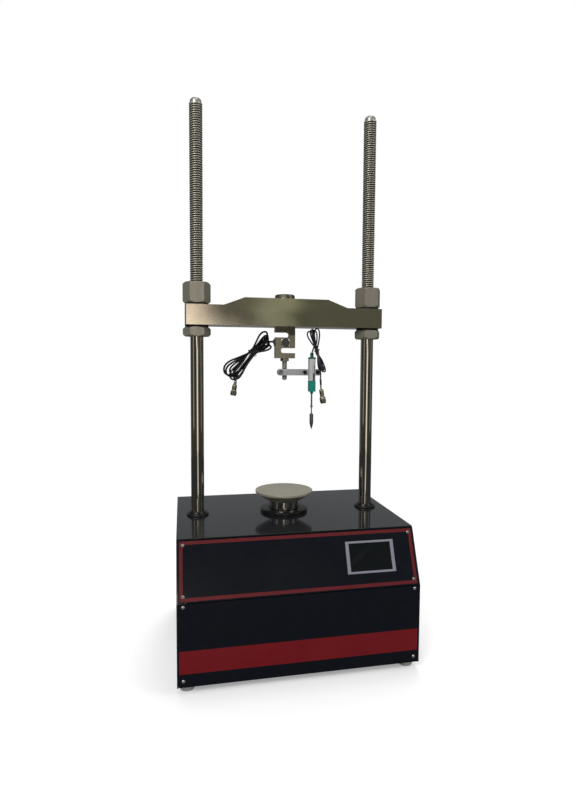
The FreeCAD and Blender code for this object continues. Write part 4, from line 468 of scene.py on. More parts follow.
def softened(node, body, finish, edge, steps=2, rubbed=None):
    """A welded copy of a frame node with rounded edges, in place of the node."""
    piece = add_object(node + "_rounded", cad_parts[node].data.copy())
    weld(piece.data, flatten=True)
    dress(piece, body, finish, edge, steps, rubbed=rubbed)
    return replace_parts(piece, node)


def under(node):
    """The point at height zero below the middle of a node's box."""
    low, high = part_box(node)
    spot = (low + high) / 2
    return spot.x, spot.y, 0


def hexagon_radius(inner, angle):
    """The radius of a hexagon at each angle, from that of the circle inside it."""
    return inner / np.cos(angle % (np.pi / 3) - np.pi / 6)


def all_round(count):
    """The angles of a turned surface as one row."""
    return np.linspace(0, 2 * np.pi, count, endpoint=False)[None, :]


def face_heights(piece):
    """The height of the middle of each face."""
    centres = np.zeros(len(piece.data.polygons) * 3)
    piece.data.polygons.foreach_get("center", centres)
    return centres[2::3]


def finish_faces(piece, numbers, *finishes):
    """Add finishes to a piece and give each face the one of its number."""
    for finish in finishes:
        piece.data.materials.append(FINISHES[finish])
    piece.data.polygons.foreach_set("material_index", numbers.astype(np.int32))


# %% [markdown]
# ## The two signal cables
#
# Both cables hang in a hank: the cable is laid to and fro, tied at the waist, and its loops fan out at both
# ends. A hank could be faked with rings, but one unbroken line is what the eye follows, so each cable is a single
# NURBS spline. Every pass through the waist has its own seat in the bundle, and every loop has its own heading,
# length, width and tilt.

# %% Cable helpers
LOOP_SHAPE = ((0.42, 0.0, -0.62), (1.0, -1.6, -1.0), (1.0, -0.55, -0.85), (1.0, 0.0, 0.0),
              (1.0, -0.55, 0.85), (1.0, -1.6, 1.0), (0.42, 0.0, 0.62))


def loop_points(waist, heading, reach, half_wide, tilt, depth):
    """One loop of a hank: out from the waist on one side, round a half circle and back on the other side."""
    heading, tilt = math.radians(heading), math.radians(tilt)
    ahead = Vector((math.cos(heading), 0, math.sin(heading)))
    aside = Vector((-math.sin(heading), 0, math.cos(heading)))
    points = []
    for share, widths, side in LOOP_SHAPE:
        out = reach * share + half_wide * widths
        across = aside * math.cos(tilt) + Vector((0, math.sin(tilt), 0))
        points.append(waist + ahead * out + across * (half_wide * side) + Vector((0, depth, 0)))
    return points


def hank_points(waist, axis_angle, pitch, lower, upper, rows=3):
    """The whole hank: for each turn a pass down the waist, a lower loop, a pass up it and an upper loop."""
    angle = math.radians(axis_angle)
    aside = Vector((-math.sin(angle), 0, math.cos(angle)))
    points = []
    for number, lower_loop in enumerate(lower):
        seat = aside * (pitch * (0.5 + number // rows))
        depth = Vector((0, pitch * (number % rows - (rows - 1) / 2), 0))
        points.append(waist + seat + depth)
        points += loop_points(waist, *lower_loop)
        points.append(waist - seat + depth)
        if number < len(upper):
            points += loop_points(waist, *upper[number])
    return points


def cable(name, points, diameter, body, look):
    """One open NURBS spline of order 3 with a round section, in the finish named by look."""
    data = bpy.data.curves.new(name, "CURVE")
    data.dimensions = "3D"
    data.bevel_depth = diameter / 2
    data.bevel_resolution = 4
    data.resolution_u = 6
    data.use_fill_caps = True
    spline = data.splines.new("NURBS")
    spline.points.add(len(points) - 1)
    spline.points.foreach_set("co", [value for point in points for value in (*point, 1.0)])
    spline.order_u = 3
    spline.use_endpoint_u = True
    data.materials.append(FINISHES[look])
    piece = add_object(name, data)
    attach(piece, body)
    return piece


def centre_line(piece):
    """The points along a cable's own line, read from the spline with its round section left out."""
    plain = piece.data.copy()
    plain.bevel_depth = 0
    carrier = bpy.data.objects.new("plain_line", plain)
    mesh = bpy.data.meshes.new_from_object(carrier)
    line = np.array([vertex.co for vertex in mesh.vertices])
    bpy.data.objects.remove(carrier)
    bpy.data.meshes.remove(mesh)
    return line


def length_of(piece):
    steps = np.diff(centre_line(piece), axis=0)
    return float(np.linalg.norm(steps, axis=1).sum())


def tightest_bend(piece):
    """The smallest radius of the circles through three neighbouring points of the line, and where it lies."""
    line = centre_line(piece)
    before, after = line[1:-1] - line[:-2], line[2:] - line[1:-1]
    chord = np.linalg.norm(line[2:] - line[:-2], axis=1)
    area = np.linalg.norm(np.cross(before, after), axis=1)
    radius = np.linalg.norm(before, axis=1) * np.linalg.norm(after, axis=1) * chord / np.maximum(2 * area, 1e-12)
    worst = int(np.argmin(radius))
    return round(float(radius[worst]), 4), [round(float(value), 4) for value in line[worst + 1]]


# %% [markdown]
# ## Round connectors
#
# Each cable ends in a round screw connector: a tapered cable clamp, a body with grip grooves, and a knurled
# coupling nut whose open mouth shows the pins. It is turned round the line from the cable to the mouth, with the
# knurl as a ripple of the radius.

# %% Connectors
RIDGES, KNURL_DEPTH, MOUTH_WALL, MOUTH_FLOOR = 26, 0.035, 0.0012, 0.86
PIN = [(0, 0.84), (0.0006, 0.84), (0.0006, 0.97), (0, 0.975)]
PIN_COUNT = 5


def connector(name, top, tip, steps, body):
    """A turned connector. Each step is a share of the length, a radius and how strongly it is knurled."""
    top, tip = Vector(top), Vector(tip)
    axis = tip - top
    share, radius, knurl = (np.array(part)[:, None] for part in zip(*steps))
    count = RIDGES * 4
    outer = radius * (1 + KNURL_DEPTH * knurl * np.cos(RIDGES * all_round(count)))
    height, mouth, floor = share * axis.length, radius[-1, 0] - MOUTH_WALL, MOUTH_FLOOR * axis.length
    shell = surface(count, (0, height[:1]), (outer, height), (mouth, axis.length), (mouth, floor), (0, floor))
    parts = [spun_part(*shell, top, axis)]
    side = axis.orthogonal().normalized()
    pin_radius, pin_height = as_columns(PIN)
    pin = surface(12, (pin_radius, pin_height * axis.length))
    for number in range(PIN_COUNT):
        place = Matrix.Rotation(math.tau * number / PIN_COUNT, 3, axis) @ side * (mouth * 0.55) + top
        parts.append(spun_part(*pin, place, axis))
    return new_piece(name, *join_points(parts), body, "connector_nickel", "bright_nickel")


cell_connector = connector(
    "cell_cable_connector", (-0.1163, 0.021, 0.6113), (-0.1222, 0.021, 0.5752),
    [(0.0, 0.0026, 0), (0.05, 0.0034, 0), (0.30, 0.0037, 0), (0.33, 0.0050, 0), (0.36, 0.0056, 0),
     (0.46, 0.0056, 0.5), (0.60, 0.0056, 0.5), (0.66, 0.0053, 0), (0.70, 0.0060, 0), (0.73, 0.0071, 1),
     (0.90, 0.0071, 1), (0.93, 0.0068, 0), (1.0, 0.0066, 0)], "crosshead_group")
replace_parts(cell_connector, "cell_connector")
gauge_connector = connector(
    "transducer_cable_connector", (0.0834, -0.004, 0.592), (0.0894, -0.004, 0.5572),
    [(0.0, 0.0020, 0), (0.06, 0.0025, 0), (0.08, 0.0044, 0), (0.12, 0.0052, 0), (0.26, 0.0052, 0.6),
     (0.40, 0.0050, 0), (0.55, 0.0052, 0), (0.60, 0.0060, 0), (0.64, 0.0070, 1), (0.88, 0.0070, 1),
     (0.92, 0.0067, 0), (1.0, 0.0065, 0)], "transducer_group")
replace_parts(gauge_connector, "transducer_connector")
print("connectors:", len(cell_connector.data.vertices), "and", len(gauge_connector.data.vertices), "points")

# %% [markdown]
# ## The load cell's cable
#
# The cable leaves the gland on the cell's left side, joins the hank at its upper end and runs through six turns.
# One loop stands up by itself, most lie close together, and a small one opens beside the cell. The lower loops
# spread like fingers, and the connector hangs from the last of them.

# %% Load cell cable
CELL_CABLE = 0.0044
CELL_WAIST = Vector((-0.0785, 0.021, 0.6752))
CELL_GLAND = (-0.0285, 0.021, 0.7018)
# Each loop: heading in degrees, reach, half width, tilt out of the picture, and depth.
CELL_LOWER = [
    (217, 0.0810, 0.0165, 6, -0.0040), (222, 0.0790, 0.0150, -14, 0.0015), (224, 0.0700, 0.0112, 24, 0.0040),
    (232, 0.0790, 0.0125, -20, -0.0015), (236, 0.0740, 0.0108, 32, -0.0040), (234, 0.0690, 0.0108, -34, 0.0030),
]
CELL_UPPER = [
    (55, 0.0615, 0.0108, 42, 0.0030), (47, 0.0560, 0.0108, -54, -0.0030), (19, 0.0495, 0.0108, 58, 0.0010),
    (43, 0.0540, 0.0108, 60, 0.0035), (28, 0.0475, 0.0108, -56, -0.0035), (36, 0.0500, 0.0108, 52, 0.0010),
]


def load_cell_cable():
    """Gland, hank and drop to the connector as one line."""
    start = [Vector(CELL_GLAND), Vector((-0.0345, 0.021, 0.7018)), Vector((-0.0420, 0.0205, 0.7010)),
             Vector((-0.0530, 0.0195, 0.6955)), Vector((-0.0650, 0.0195, 0.6865))]
    turns = hank_points(CELL_WAIST, 52, 0.0046, CELL_LOWER, CELL_UPPER)
    end = [CELL_WAIST + Vector((-0.004, 0.003, -0.006)), Vector((-0.0895, 0.0225, 0.6550)),
           Vector((-0.0990, 0.0220, 0.6400)), Vector((-0.1080, 0.0212, 0.6300)),
           Vector((-0.1145, 0.021, 0.6215)), Vector((-0.1163, 0.021, 0.6113))]
    return cable("load_cell_cable", start + turns + end, CELL_CABLE, "crosshead_group", "black_jacket")


cell_cable = load_cell_cable()
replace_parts(cell_cable, "cell_cable_hank", "cell_cable_lead")
print("load cell cable:", round(length_of(cell_cable), 3), "m, tightest bend", tightest_bend(cell_cable))


def wire_tie(name, waist, axis_angle, half_wide, half_deep, thick, tails, body):
    """A twisted tie: a ring of wire round the bundle with two short tails, as one tube along its line."""
    angle = math.radians(axis_angle)
    aside = Vector((-math.sin(angle), 0, math.cos(angle)))
    ahead = Vector((math.cos(angle), 0, math.sin(angle)))
    points = []
    for step in range(33):
        turn = math.tau * 2 * step / 32 - math.pi / 2
        lift = thick * 1.1 * (step / 16 - 1)
        points.append(waist + aside * half_wide * math.sin(turn) + Vector((0, half_deep * math.cos(turn), 0))
                      + ahead * lift)
    first, last = (waist - aside * (half_wide + tails) + ahead * (side * tails * 0.6) for side in (-1, 1))
    return cable(name, [first, *points, last], thick, body, "black_plastic")


cell_tie = wire_tie("load_cell_cable_tie", CELL_WAIST, 52, 0.0098, 0.0072, 0.0014, 0.0035, "crosshead_group")

# %% [markdown]
# ## The transducer's cable
#
# This thinner, dark blue cable comes up out of the forked gland, folds into a hank beside the transducer, and
# drops straight down through a short sleeve to its connector. The weight of the connector pulls that last
# stretch nearly straight.

# %% Transducer cable
GAUGE_CABLE = 0.0034
GAUGE_WAIST = Vector((0.0718, -0.004, 0.6815))
GAUGE_X = 0.062
GAUGE_EXIT = (GAUGE_X, 0.002, 0.6713)
# Each loop: heading in degrees, reach, half width, tilt out of the picture, and depth.
GAUGE_LOWER = [(-69, 0.0545, 0.0084, 50, -0.0050), (-74, 0.0525, 0.0084, 58, -0.0062),
               (-80, 0.0475, 0.0084, 52, -0.0048), (-72, 0.0490, 0.0084, 40, -0.0070)]
GAUGE_UPPER = [(114, 0.0490, 0.0084, 54, 0.0010), (103, 0.0515, 0.0084, -60, -0.0012),
               (98, 0.0490, 0.0084, 62, 0.0004), (107, 0.0500, 0.0084, -54, 0.0008)]


def transducer_cable():
    """Out of the fork, up and over as the open right loop, the hank, and the straight drop to the connector."""
    rise = [GAUGE_EXIT, (0.0619, 0.0014, 0.6765), (0.0640, -0.0002, 0.6830), (0.0668, -0.0008, 0.6920),
            (0.0678, 0.0004, 0.7040), (0.0676, 0.0012, 0.7160), (0.0674, 0.0006, 0.7260),
            (0.0700, -0.0030, 0.7325), (0.0735, -0.0080, 0.7325), (0.0762, -0.0115, 0.7260),
            (0.0768, -0.0115, 0.7160), (0.0760, -0.0090, 0.7040), (0.0742, -0.0060, 0.6920)]
    turns = hank_points(GAUGE_WAIST, -72 + 180, -0.0030, GAUGE_LOWER, GAUGE_UPPER, 2)
    drop = [(0.0728, -0.0055, 0.6790), (0.0752, -0.0058, 0.6660), (0.0780, -0.0056, 0.6520),
            (0.0803, -0.0050, 0.6400), (0.0818, -0.0045, 0.6300), (0.0820, -0.004, 0.6200),
            (0.0822, -0.004, 0.6080), (0.0834, -0.004, 0.5920)]
    return cable("transducer_cable", [Vector(point) for point in [*rise, *turns, *drop]], GAUGE_CABLE,
                 "transducer_group", "navy_jacket")


gauge_cable = transducer_cable()
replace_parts(gauge_cable, "transducer_cable_hank", "transducer_cable_leads")
print("transducer cable:", round(length_of(gauge_cable), 3), "m, tightest bend", tightest_bend(gauge_cable))
gauge_tie = wire_tie("transducer_cable_tie", GAUGE_WAIST, 108, 0.0062, 0.0056, 0.0012, 0.0016,
                     "transducer_group")
gauge_sleeve = turned("transducer_cable_sleeve",
                      [(0.0018, 0.0), (0.0024, 0.0), (0.0024, 0.0125), (0.0019, 0.0135)],
                      (0.0829, -0.004, 0.6005), "transducer_group", "black_plastic", "black_plastic", 24,
                      0.0001, axis=(-0.06, 0, 1), tube=True)

# %% [markdown]
# ## Columns
#
# A column is plain and polished up to the crosshead and threaded above it. The thread is a screw surface: the
# radius falls from crest to root and back once for every pitch, and the pattern climbs one pitch in each turn.
# Written as a radius over angle and height it needs no twisting of faces, and it closes at the seam by itself.
# The root is painted dark as its shade, so every vertex keeps how near it is to the crest, and the finish mixes a
# painted-shade dark root with a bright crest by that number.

# %% Columns
THREAD_PITCH = 0.005
THREAD_DEPTH = 0.0028
THREAD_ROWS = 10
THREAD_COUNT = 48


def thread_finish():
    """Steel whose colour follows the crest number: painted shade, nearly black, in the root, bright on the crest.
    """
    material = make_finish("rolled_thread_painted_root_shade", (0.48, 0.46, 0.39), (0.57, 0.55, 0.475), (0.30, 0.36),
                           metal=0.7, stretch=ACROSS, scale=120.0, specular=0.3)
    tree = material.node_tree
    shader = tree.nodes["Principled BSDF"]
    crest = tree.nodes.new("ShaderNodeAttribute")
    crest.attribute_name = "crest"
    crest_mask_over_painted_shade = remap(tree, crest.outputs["Fac"], 0.50, 0.74)
    steel = shader.inputs["Base Color"].links[0].from_socket
    # Painted shade: the nearly black root colour stands for the shade in the thread's root.
    link(tree, mix_colours(tree, crest_mask_over_painted_shade, (0.010, 0.009, 0.007), steel), shader.inputs["Base Color"])
    return material


FINISHES["thread_steel"] = thread_finish()


def threaded_rod(low, high, crest, pitch, depth, count, rows_per_pitch):
    """Crest radius less the depth times a rounded wave of the phase, height over pitch less angle over a turn.

    The thread fades in over one pitch at each end."""
    height = np.linspace(low, high, int((high - low) / pitch * rows_per_pitch))[:, None]
    fade = np.clip(np.minimum(height - low, high - height) / pitch, 0, 1)
    phase = height / pitch - all_round(count) / (2 * np.pi)
    wave = 0.5 - 0.5 * np.cos(2 * np.pi * phase)
    return crest - depth * fade * wave ** 1.6, height


def mark_crest(piece, axis, root, crest):
    """Store on every vertex where its distance from the axis lies between root, zero, and crest, one."""
    mesh = piece.data
    places = np.zeros(len(mesh.vertices) * 3)
    mesh.vertices.foreach_get("co", places)
    away = np.hypot(*(places.reshape(-1, 3)[:, :2] - np.array(axis)).T)
    layer = mesh.attributes.new("crest", "FLOAT", "POINT")
    layer.data.foreach_set("value", np.clip((away - root) / (crest - root), 0, 1).astype(np.float32))


def column(side):
    """Smooth shaft, thread and rounded nose as one surface."""
    node = "column_" + side
    low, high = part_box(node)
    axis_x, axis_y, crest = (low.x + high.x) / 2, (low.y + high.y) / 2, (high.x - low.x) / 2
    thread_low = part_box("lower_nut_" + side)[0].z + 0.002
    nose_low = high.z - 0.011
    shoulder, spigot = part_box("lower_beam")[0].z + 0.020, 0.012
    foot = [(0, low.z), (spigot, low.z), (spigot, shoulder), (crest, shoulder)]
    cap = [(0.0130, nose_low + 0.0006), (0.0126, high.z - 0.0034), (0.0120, high.z - 0.0022),
           (0.0100, high.z - 0.0004), (0.0092, high.z), (0.004, high.z - 0.0004), (0, high.z - 0.0012)]
    thread = threaded_rod(thread_low, nose_low, crest, THREAD_PITCH, THREAD_DEPTH, THREAD_COUNT, THREAD_ROWS)
    rows = surface(THREAD_COUNT, as_columns(foot), thread, as_columns(cap))
    piece = new_piece(node + "_threaded", *spun_part(*rows, (axis_x, axis_y, 0)), "root", "chrome",
                      "polished_chrome", sharp=50)
    mark_crest(piece, (axis_x, axis_y), crest - THREAD_DEPTH, crest)
    height = face_heights(piece)
    finish_faces(piece, 1 * (height > thread_low) + (height > nose_low + 0.0004), "thread_steel",
                 "screw_steel")
    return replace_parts(piece, node)


for side in ("left", "right"):
    shaft = column(side)
    print(shaft.name, len(shaft.data.polygons), "faces")

# %% [markdown]
# ## Nuts
#
# A nut is a hexagon whose corners are turned off by a cone at each end. Both are a radius over angle and
# height, and the smaller of the two is the nut's surface: that is what a lathe does to hexagon bar. The rows
# crowd together at the chamfers, where the shape changes.

# %% Nuts
COLUMN_RADIUS, BORE_EDGE = 0.015, 0.0012


def nut_surface(flat, low, high, bore, chamfer, count=120):
    """The smaller of hexagon and cone at each angle and height, closed through the bore."""
    share = np.array([0, 0.12, 0.3, 0.55, 0.8, 1.0])
    rise = np.concatenate([share * chamfer, (high - low) - share[::-1] * chamfer])[:, None]
    near_end = np.minimum(rise, (high - low) - rise)
    corner = flat / math.sqrt(3)
    cone = flat / 2 * 0.985 + (corner - flat / 2 * 0.985) * near_end / chamfer
    outer = np.minimum(hexagon_radius(flat / 2, all_round(count)), cone)
    lip = bore + BORE_EDGE
    return surface(count, (outer, low + rise), (lip, high), (bore, high - BORE_EDGE), (bore, low + BORE_EDGE),
                   (lip, low))


def nut(node, flat, bore, chamfer, body, finish, slot, edge=0.0007):
    """A nut in place of its node, with its corners toward plus and minus X."""
    low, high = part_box(node)
    place = ((low.x + high.x) / 2, (low.y + high.y) / 2, 0)
    part = spun_part(*nut_surface(flat, low.z, high.z, bore, chamfer), place, tube=True)
    piece = new_piece(node + "_turned", *part, body, finish, slot, edge, sharp=25, rubbed="rubbed_nickel")
    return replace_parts(piece, node)


for level in ("upper", "lower"):
    for side in ("left", "right"):
        node = f"{level}_nut_{side}"
        nut(node, 0.055, COLUMN_RADIUS + 0.0001, 0.0042, node + "_body", "nut_steel", "nut_steel")
nut("cell_lock_nut", 0.018, 0.006, 0.0014, "crosshead_group", "connector_nickel", "screw_steel", 0.0003)
print("five nuts made")

# %% [markdown]
# ## Washers, collars and the centre bolt
#
# These are plain turned parts. Each takes its place from its node's box, and only its section is written here.

# %% Turned rings and the bolt
WASHER_THICK, BOLT_WASHER_THICK = 0.004, 0.003


def ring_profile(inner, outer, low, high, round_off=0.0008):
    """A ring's section, from the bottom of its bore round its outside and back, with its outer corners cut."""
    return [(inner, low), (outer - round_off, low), (outer, low + round_off), (outer, high - round_off),
            (outer - round_off, high), (inner, high)]


def crosshead_washers():
    """The four dark washers at the columns as one piece, and the bright one under the bolt head."""
    bar_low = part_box("crosshead")[0].z - WASHER_THICK
    bar_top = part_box("upper_nut_left")[0].z - WASHER_THICK
    parts = [turned_part(ring_profile(COLUMN_RADIUS + 0.0004, 0.0265, low, low + WASHER_THICK),
                         under("column_" + side), 72, tube=True)
             for side in ("left", "right") for low in (bar_low, bar_top)]
    dark = new_piece("column_washers", *join_points(parts), "crosshead_group", "black_oxide", "black_oxide",
                     0.0003)
    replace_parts(dark, "crosshead_washers")
    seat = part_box("crosshead")[1].z
    turned("bolt_washer", ring_profile(0.008, 0.0245, seat, seat + BOLT_WASHER_THICK), under("centre_bolt"),
           "crosshead_group", "connector_nickel", "black_oxide", tube=True)


def centre_bolt():
    """A turned head with a hexagon socket, above the washer, and its shank down to the load cell."""
    low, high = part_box("centre_bolt")
    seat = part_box("crosshead")[1].z + BOLT_WASHER_THICK
    head = 0.0235
    socket = hexagon_radius(0.0095, all_round(96))
    rows = [(0, low.z), (0.006, low.z), (0.006, seat - 0.064), (0.008, seat - 0.063), (0.008, seat),
            (head - 0.0004, seat), (head, seat + 0.0004), (head, high.z - 0.002), (head - 0.002, high.z)]
    deep = high.z - 0.005
    bolt = surface(96, as_columns(rows), (socket + 0.0006, high.z), (socket, high.z - 0.0006), (socket, deep),
                   (0, deep - 0.001))
    piece = new_piece("centre_bolt_turned", *spun_part(*bolt, under("centre_bolt")), "crosshead_group",
                      "connector_nickel", "nut_steel", 0.0003)
    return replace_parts(piece, "centre_bolt")


crosshead_washers()
centre_bolt()


def deck_collars():
    """A collar round each column's foot and a wide one round the ram."""
    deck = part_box("deck_cover")[1].z
    profile = [(0.0151, deck), (0.0255, deck), (0.0255, deck + 0.0032), (0.0248, deck + 0.0044),
               (0.0205, deck + 0.0056), (0.0190, deck + 0.009), (0.0151, deck + 0.009)]
    parts = [turned_part(profile, under("column_" + side), 72, tube=True) for side in ("left", "right")]
    small = new_piece("column_foot_collars", *join_points(parts), "root", "collar_steel", "black_oxide", 0.0004)
    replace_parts(small, "column_collars")
    wide = turned("ram_seal_collar",
                  [(0.0353, deck), (0.0565, deck), (0.0565, deck + 0.0062), (0.0555, deck + 0.0075),
                   (0.0540, deck + 0.008), (0.0385, deck + 0.008), (0.0372, deck + 0.0066),
                   (0.0353, deck + 0.0066)],
                  under("ram_collar"), "root", "collar_steel", "black_oxide", tube=True)
    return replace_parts(wide, "ram_collar")


deck_collars()

# %% [markdown]
# ## Ram and platen
#
# The ram is hard-chromed and polished, the platen is a ground disc on a shallow cone. Its top is ground flat,
# with one fine turned line near the rim and a small centre mark where the cell is set down.

# %% Ram and platen


def ram():
    """The chromed ram: the outside of its node, its bore kept."""
    low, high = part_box("ram")
    radius = (high.x - low.x) / 2
    nut_top, bore_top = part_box("ram_nut")[1].z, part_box("jack_screw")[1].z + 0.013
    outside = [(0.025, low.z), (radius, low.z), (radius, high.z), (0, high.z)]
    inside = [(0, bore_top), (0.015, bore_top), (0.015, nut_top), (0.025, nut_top), (0.025, low.z)]
    parts = [turned_part(profile, under("ram"), 96) for profile in (outside, inside)]
    piece = new_piece("ram_chromed", *join_points(parts), "ram_group", "ram_chrome", "polished_chrome", 0.0003)
    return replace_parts(piece, "ram")


def platen():
    """Cone with a short skirt over the ram's end, rim, and ground top with its line and centre mark."""
    low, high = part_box("platen")
    rim = (high.x - low.x) / 2
    neck, rim_low, skirt = 0.0395, high.z - 0.005, 0.008
    rings = [(rim * share, high.z - dip) for share, dip in (
        (0.86, 0), (0.857, 0.00006), (0.853, 0.00006), (0.850, 0), (0.05, 0), (0.045, 0.0008), (0, 0.0012))]
    profile = [(0, low.z), (0.0352, low.z), (0.0352, low.z - skirt), (neck - 0.001, low.z - skirt),
               (neck, low.z - skirt + 0.001), (0.052, low.z + 0.0005), (rim - 0.0012, rim_low - 0.0006),
               (rim, rim_low), (rim, high.z - 0.0006), (rim - 0.0006, high.z), *rings]
    piece = turned("platen_ground", profile, under("platen"), "ram_group", "platen_steel", "satin_nickel", 128,
                   0.0003)
    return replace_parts(piece, "platen")


ram()
platen()

# %% [markdown]
# ## Milled parts
#
# The crosshead, the load cell, the arm and the transducer's case are milled or drawn, so the frame's own solids
# have the right shape, and what they lack is the broken edge that every real part has. A welded copy of the
# node with a bevel on its edges gives that, and keeps every size.

# %% The load cell's finish


def cell_finish():
    """Painted shade: the cell's upper block, above the first slot, is darker, as the crosshead's shade on it; the
    change follows the height.
    """
    material = make_finish("load_cell_nickel_painted_shade", (0.30, 0.285, 0.215), (0.37, 0.355, 0.275), (0.28, 0.38),
                           metal=1.0, stretch=ALONG_Z, scale=500.0, depth=0.00001)
    tree = material.node_tree
    shader = tree.nodes["Principled BSDF"]
    place = tree.nodes.new("ShaderNodeTexCoord").outputs["Object"]
    parts = tree.nodes.new("ShaderNodeSeparateXYZ")
    link(tree, place, parts.inputs[0])
    upper = remap(tree, parts.outputs["Z"], 0.7150, 0.7185)
    steel = shader.inputs["Base Color"].links[0].from_socket
    # The dark colour mixed in on the upper block is painted shade.
    link(tree, mix_colours(tree, upper, steel, (0.105, 0.100, 0.075)), shader.inputs["Base Color"])
    return material


FINISHES["cell_nickel_painted_shade"] = cell_finish()
print("the load cell's finish darkens above its first slot")

# %% Crosshead, load cell, arm and transducer
softened("crosshead", "crosshead_group", "satin_nickel", 0.0011, 3, rubbed="rubbed_nickel")
softened("load_cell", "crosshead_group", "cell_nickel_painted_shade", 0.0005, rubbed="rubbed_nickel")
softened("cell_covers", "crosshead_group", "cover_black", 0.0003)
softened("transducer_arm", "arm_group", "aluminium", 0.0005, rubbed="rubbed_aluminium_and_highlight")
softened("transducer_clips", "arm_group", "aluminium", 0.0003)
softened("transducer_body", "transducer_group", "gauge_aluminium", 0.0003)
print("six milled parts rounded")

# %% [markdown]
# ## The transducer's moulded caps
#
# The lower cap is a sleeve over the end of the case, the upper one a thin lid with a forked gland that grips the
# cable. Mouldings have generous corners, so their plan is a rounded rectangle: a rectangle whose sides are
# pulled in by the corner radius, pushed out again along the angle by that radius. A black strip, the painted
# shade of a groove, runs up the front of the case from the lower cap, with a fine dark line above it.

# %% Caps and slot


def moulded_block(low, high, corner, edge, count=48):
    """A block with a rounded plan and cut edges: each row is the plan, shrunk a little at both ends.

    The plan is the corner centres of the shrunken rectangle, plus the corner radius along the angle."""
    angle = (np.arange(count) + 0.5) * 2 * np.pi / count
    x, y = (np.sign(way) * ((high[axis] - low[axis]) / 2 - corner) + corner * way
            for axis, way in enumerate((np.cos(angle), np.sin(angle))))
    centre = [(low[axis] + high[axis]) / 2 for axis in (0, 1)]
    cut = 1 - edge / 0.007
    rows = [(0, low[2]), (cut, low[2]), (1, low[2] + edge), (1, high[2] - edge), (cut, high[2]), (0, high[2])]
    points = np.array([np.stack([centre[0] + x * share, centre[1] + y * share, height + 0 * x], axis=-1)
                       for share, height in rows])
    return points, grid_faces(len(rows), len(x))


def prong(place, lean):
    """One finger of the fork: a short round peg that leans outwards."""
    return turned_part([(0, 0), (0.0014, 0), (0.0013, 0.0048), (0.0009, 0.0056), (0, 0.0058)], place, 20,
                       (lean, 0, 1))


def transducer_caps():
    """The lower cap with its nose, and the lid with its boss and fork."""
    axis_x, axis_y = GAUGE_X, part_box("plunger")[0].y + 0.0045
    low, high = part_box("transducer_lower_cap")
    case_low, case_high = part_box("transducer_body")
    sleeve_low = (case_low.x - 0.0004, case_low.y - 0.0003, low.z + 0.0054)
    sleeve_high = (case_high.x + 0.0004, case_low.y + 0.0172, high.z)
    nose = [(0, low.z), (0.0026, low.z), (0.0034, low.z + 0.001), (0.0040, low.z + 0.0052),
            (0.0040, low.z + 0.008), (0, low.z + 0.008)]
    parts = [moulded_block(sleeve_low, sleeve_high, 0.0007, 0.0006),
             turned_part(nose, (axis_x, axis_y, 0), 40)]
    points, faces = join_points(parts)
    lower = new_piece("moulded_lower_cap", points, faces, "transducer_group", "green_plastic", "green_plastic",
                      0.0002)
    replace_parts(lower, "transducer_lower_cap")
    low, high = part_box("transducer_top_cap")
    lid_top = case_high.z + 0.0042
    boss_top = high.z - 0.0062
    boss = [(0, lid_top - 0.001), (0.0046, lid_top - 0.001), (0.0042, lid_top + 0.0008), (0.0038, boss_top),
            (0, boss_top)]
    parts = [moulded_block((low.x, low.y, case_high.z - 0.0004), (high.x, high.y, lid_top), 0.0022, 0.0006),
             turned_part(boss, (axis_x, axis_y, 0), 40)]
    for side in (-1, 1):
        parts.append(prong((axis_x + side * 0.0028, axis_y, boss_top - 0.0003), side * 0.06))
    points, faces = join_points(parts)
    lid = new_piece("moulded_lid", points, faces, "transducer_group", "dark_green_plastic", "green_plastic",
                    0.0002)
    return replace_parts(lid, "transducer_top_cap")


transducer_caps()


def case_slot_shade_strip():
    """The black strip that paints a groove's shade, and the fine dark joint above it, as a thin inlay in the
    front of the case.
    """
    low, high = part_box("transducer_body")
    cap_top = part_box("transducer_lower_cap")[1].z
    spans = [(0.0629, 0.0667, cap_top, cap_top + 0.0175), (0.0664, 0.0674, cap_top + 0.0175, high.z - 0.016)]
    parts = [moulded_block((left, low.y - 0.0003, bottom), (right, low.y + 0.0003, top), 0.0001, 0.00005)
             for left, right, bottom, top in spans]
    points, faces = join_points(parts)
    return new_piece("case_slot_shade_strip", points, faces, "transducer_group", "black_plastic", "black_plastic")


case_slot_shade_strip()


def cell_gland():
    """The nickel gland that carries the cable out of the cell's side: flange, round band, groove and collar."""
    start = Vector((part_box("cell_covers")[0].x, CELL_GLAND[1], CELL_GLAND[2])) + Vector((0.0030, 0, 0))
    profile = [(0, 0), (0.0052, 0), (0.0052, 0.0008), (0.0040, 0.0010), (0.0040, 0.0016), (0.0046, 0.0018),
               (0.0046, 0.0024), (0.0036, 0.0027), (0.0036, 0.0029), (0.0023, 0.0030), (0, 0.0030)]
    return turned("cell_cable_gland", profile, start, "crosshead_group", "connector_nickel", "bright_nickel",
                  48, 0.0001, axis=(-1, 0, 0))


cell_gland()


def pocket_ring():
    """A thin lip round the gauge pocket's cover, on the front of the cell, bright as a painted highlight on its
    countersunk edge.
    """
    low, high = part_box("load_cell")
    centre = ((low.x + high.x) / 2, low.y, (low.z + high.z) / 2)
    profile = [(0.0100, -0.0008), (0.0100, 0.0003), (0.0103, 0.0004), (0.0108, 0.0002), (0.0109, -0.0008)]
    return turned("cell_pocket_lip", profile, centre, "crosshead_group", "rubbed_nickel", "satin_nickel", 64,
                  0.0, axis=(0, -1, 0), tube=True)


pocket_ring()


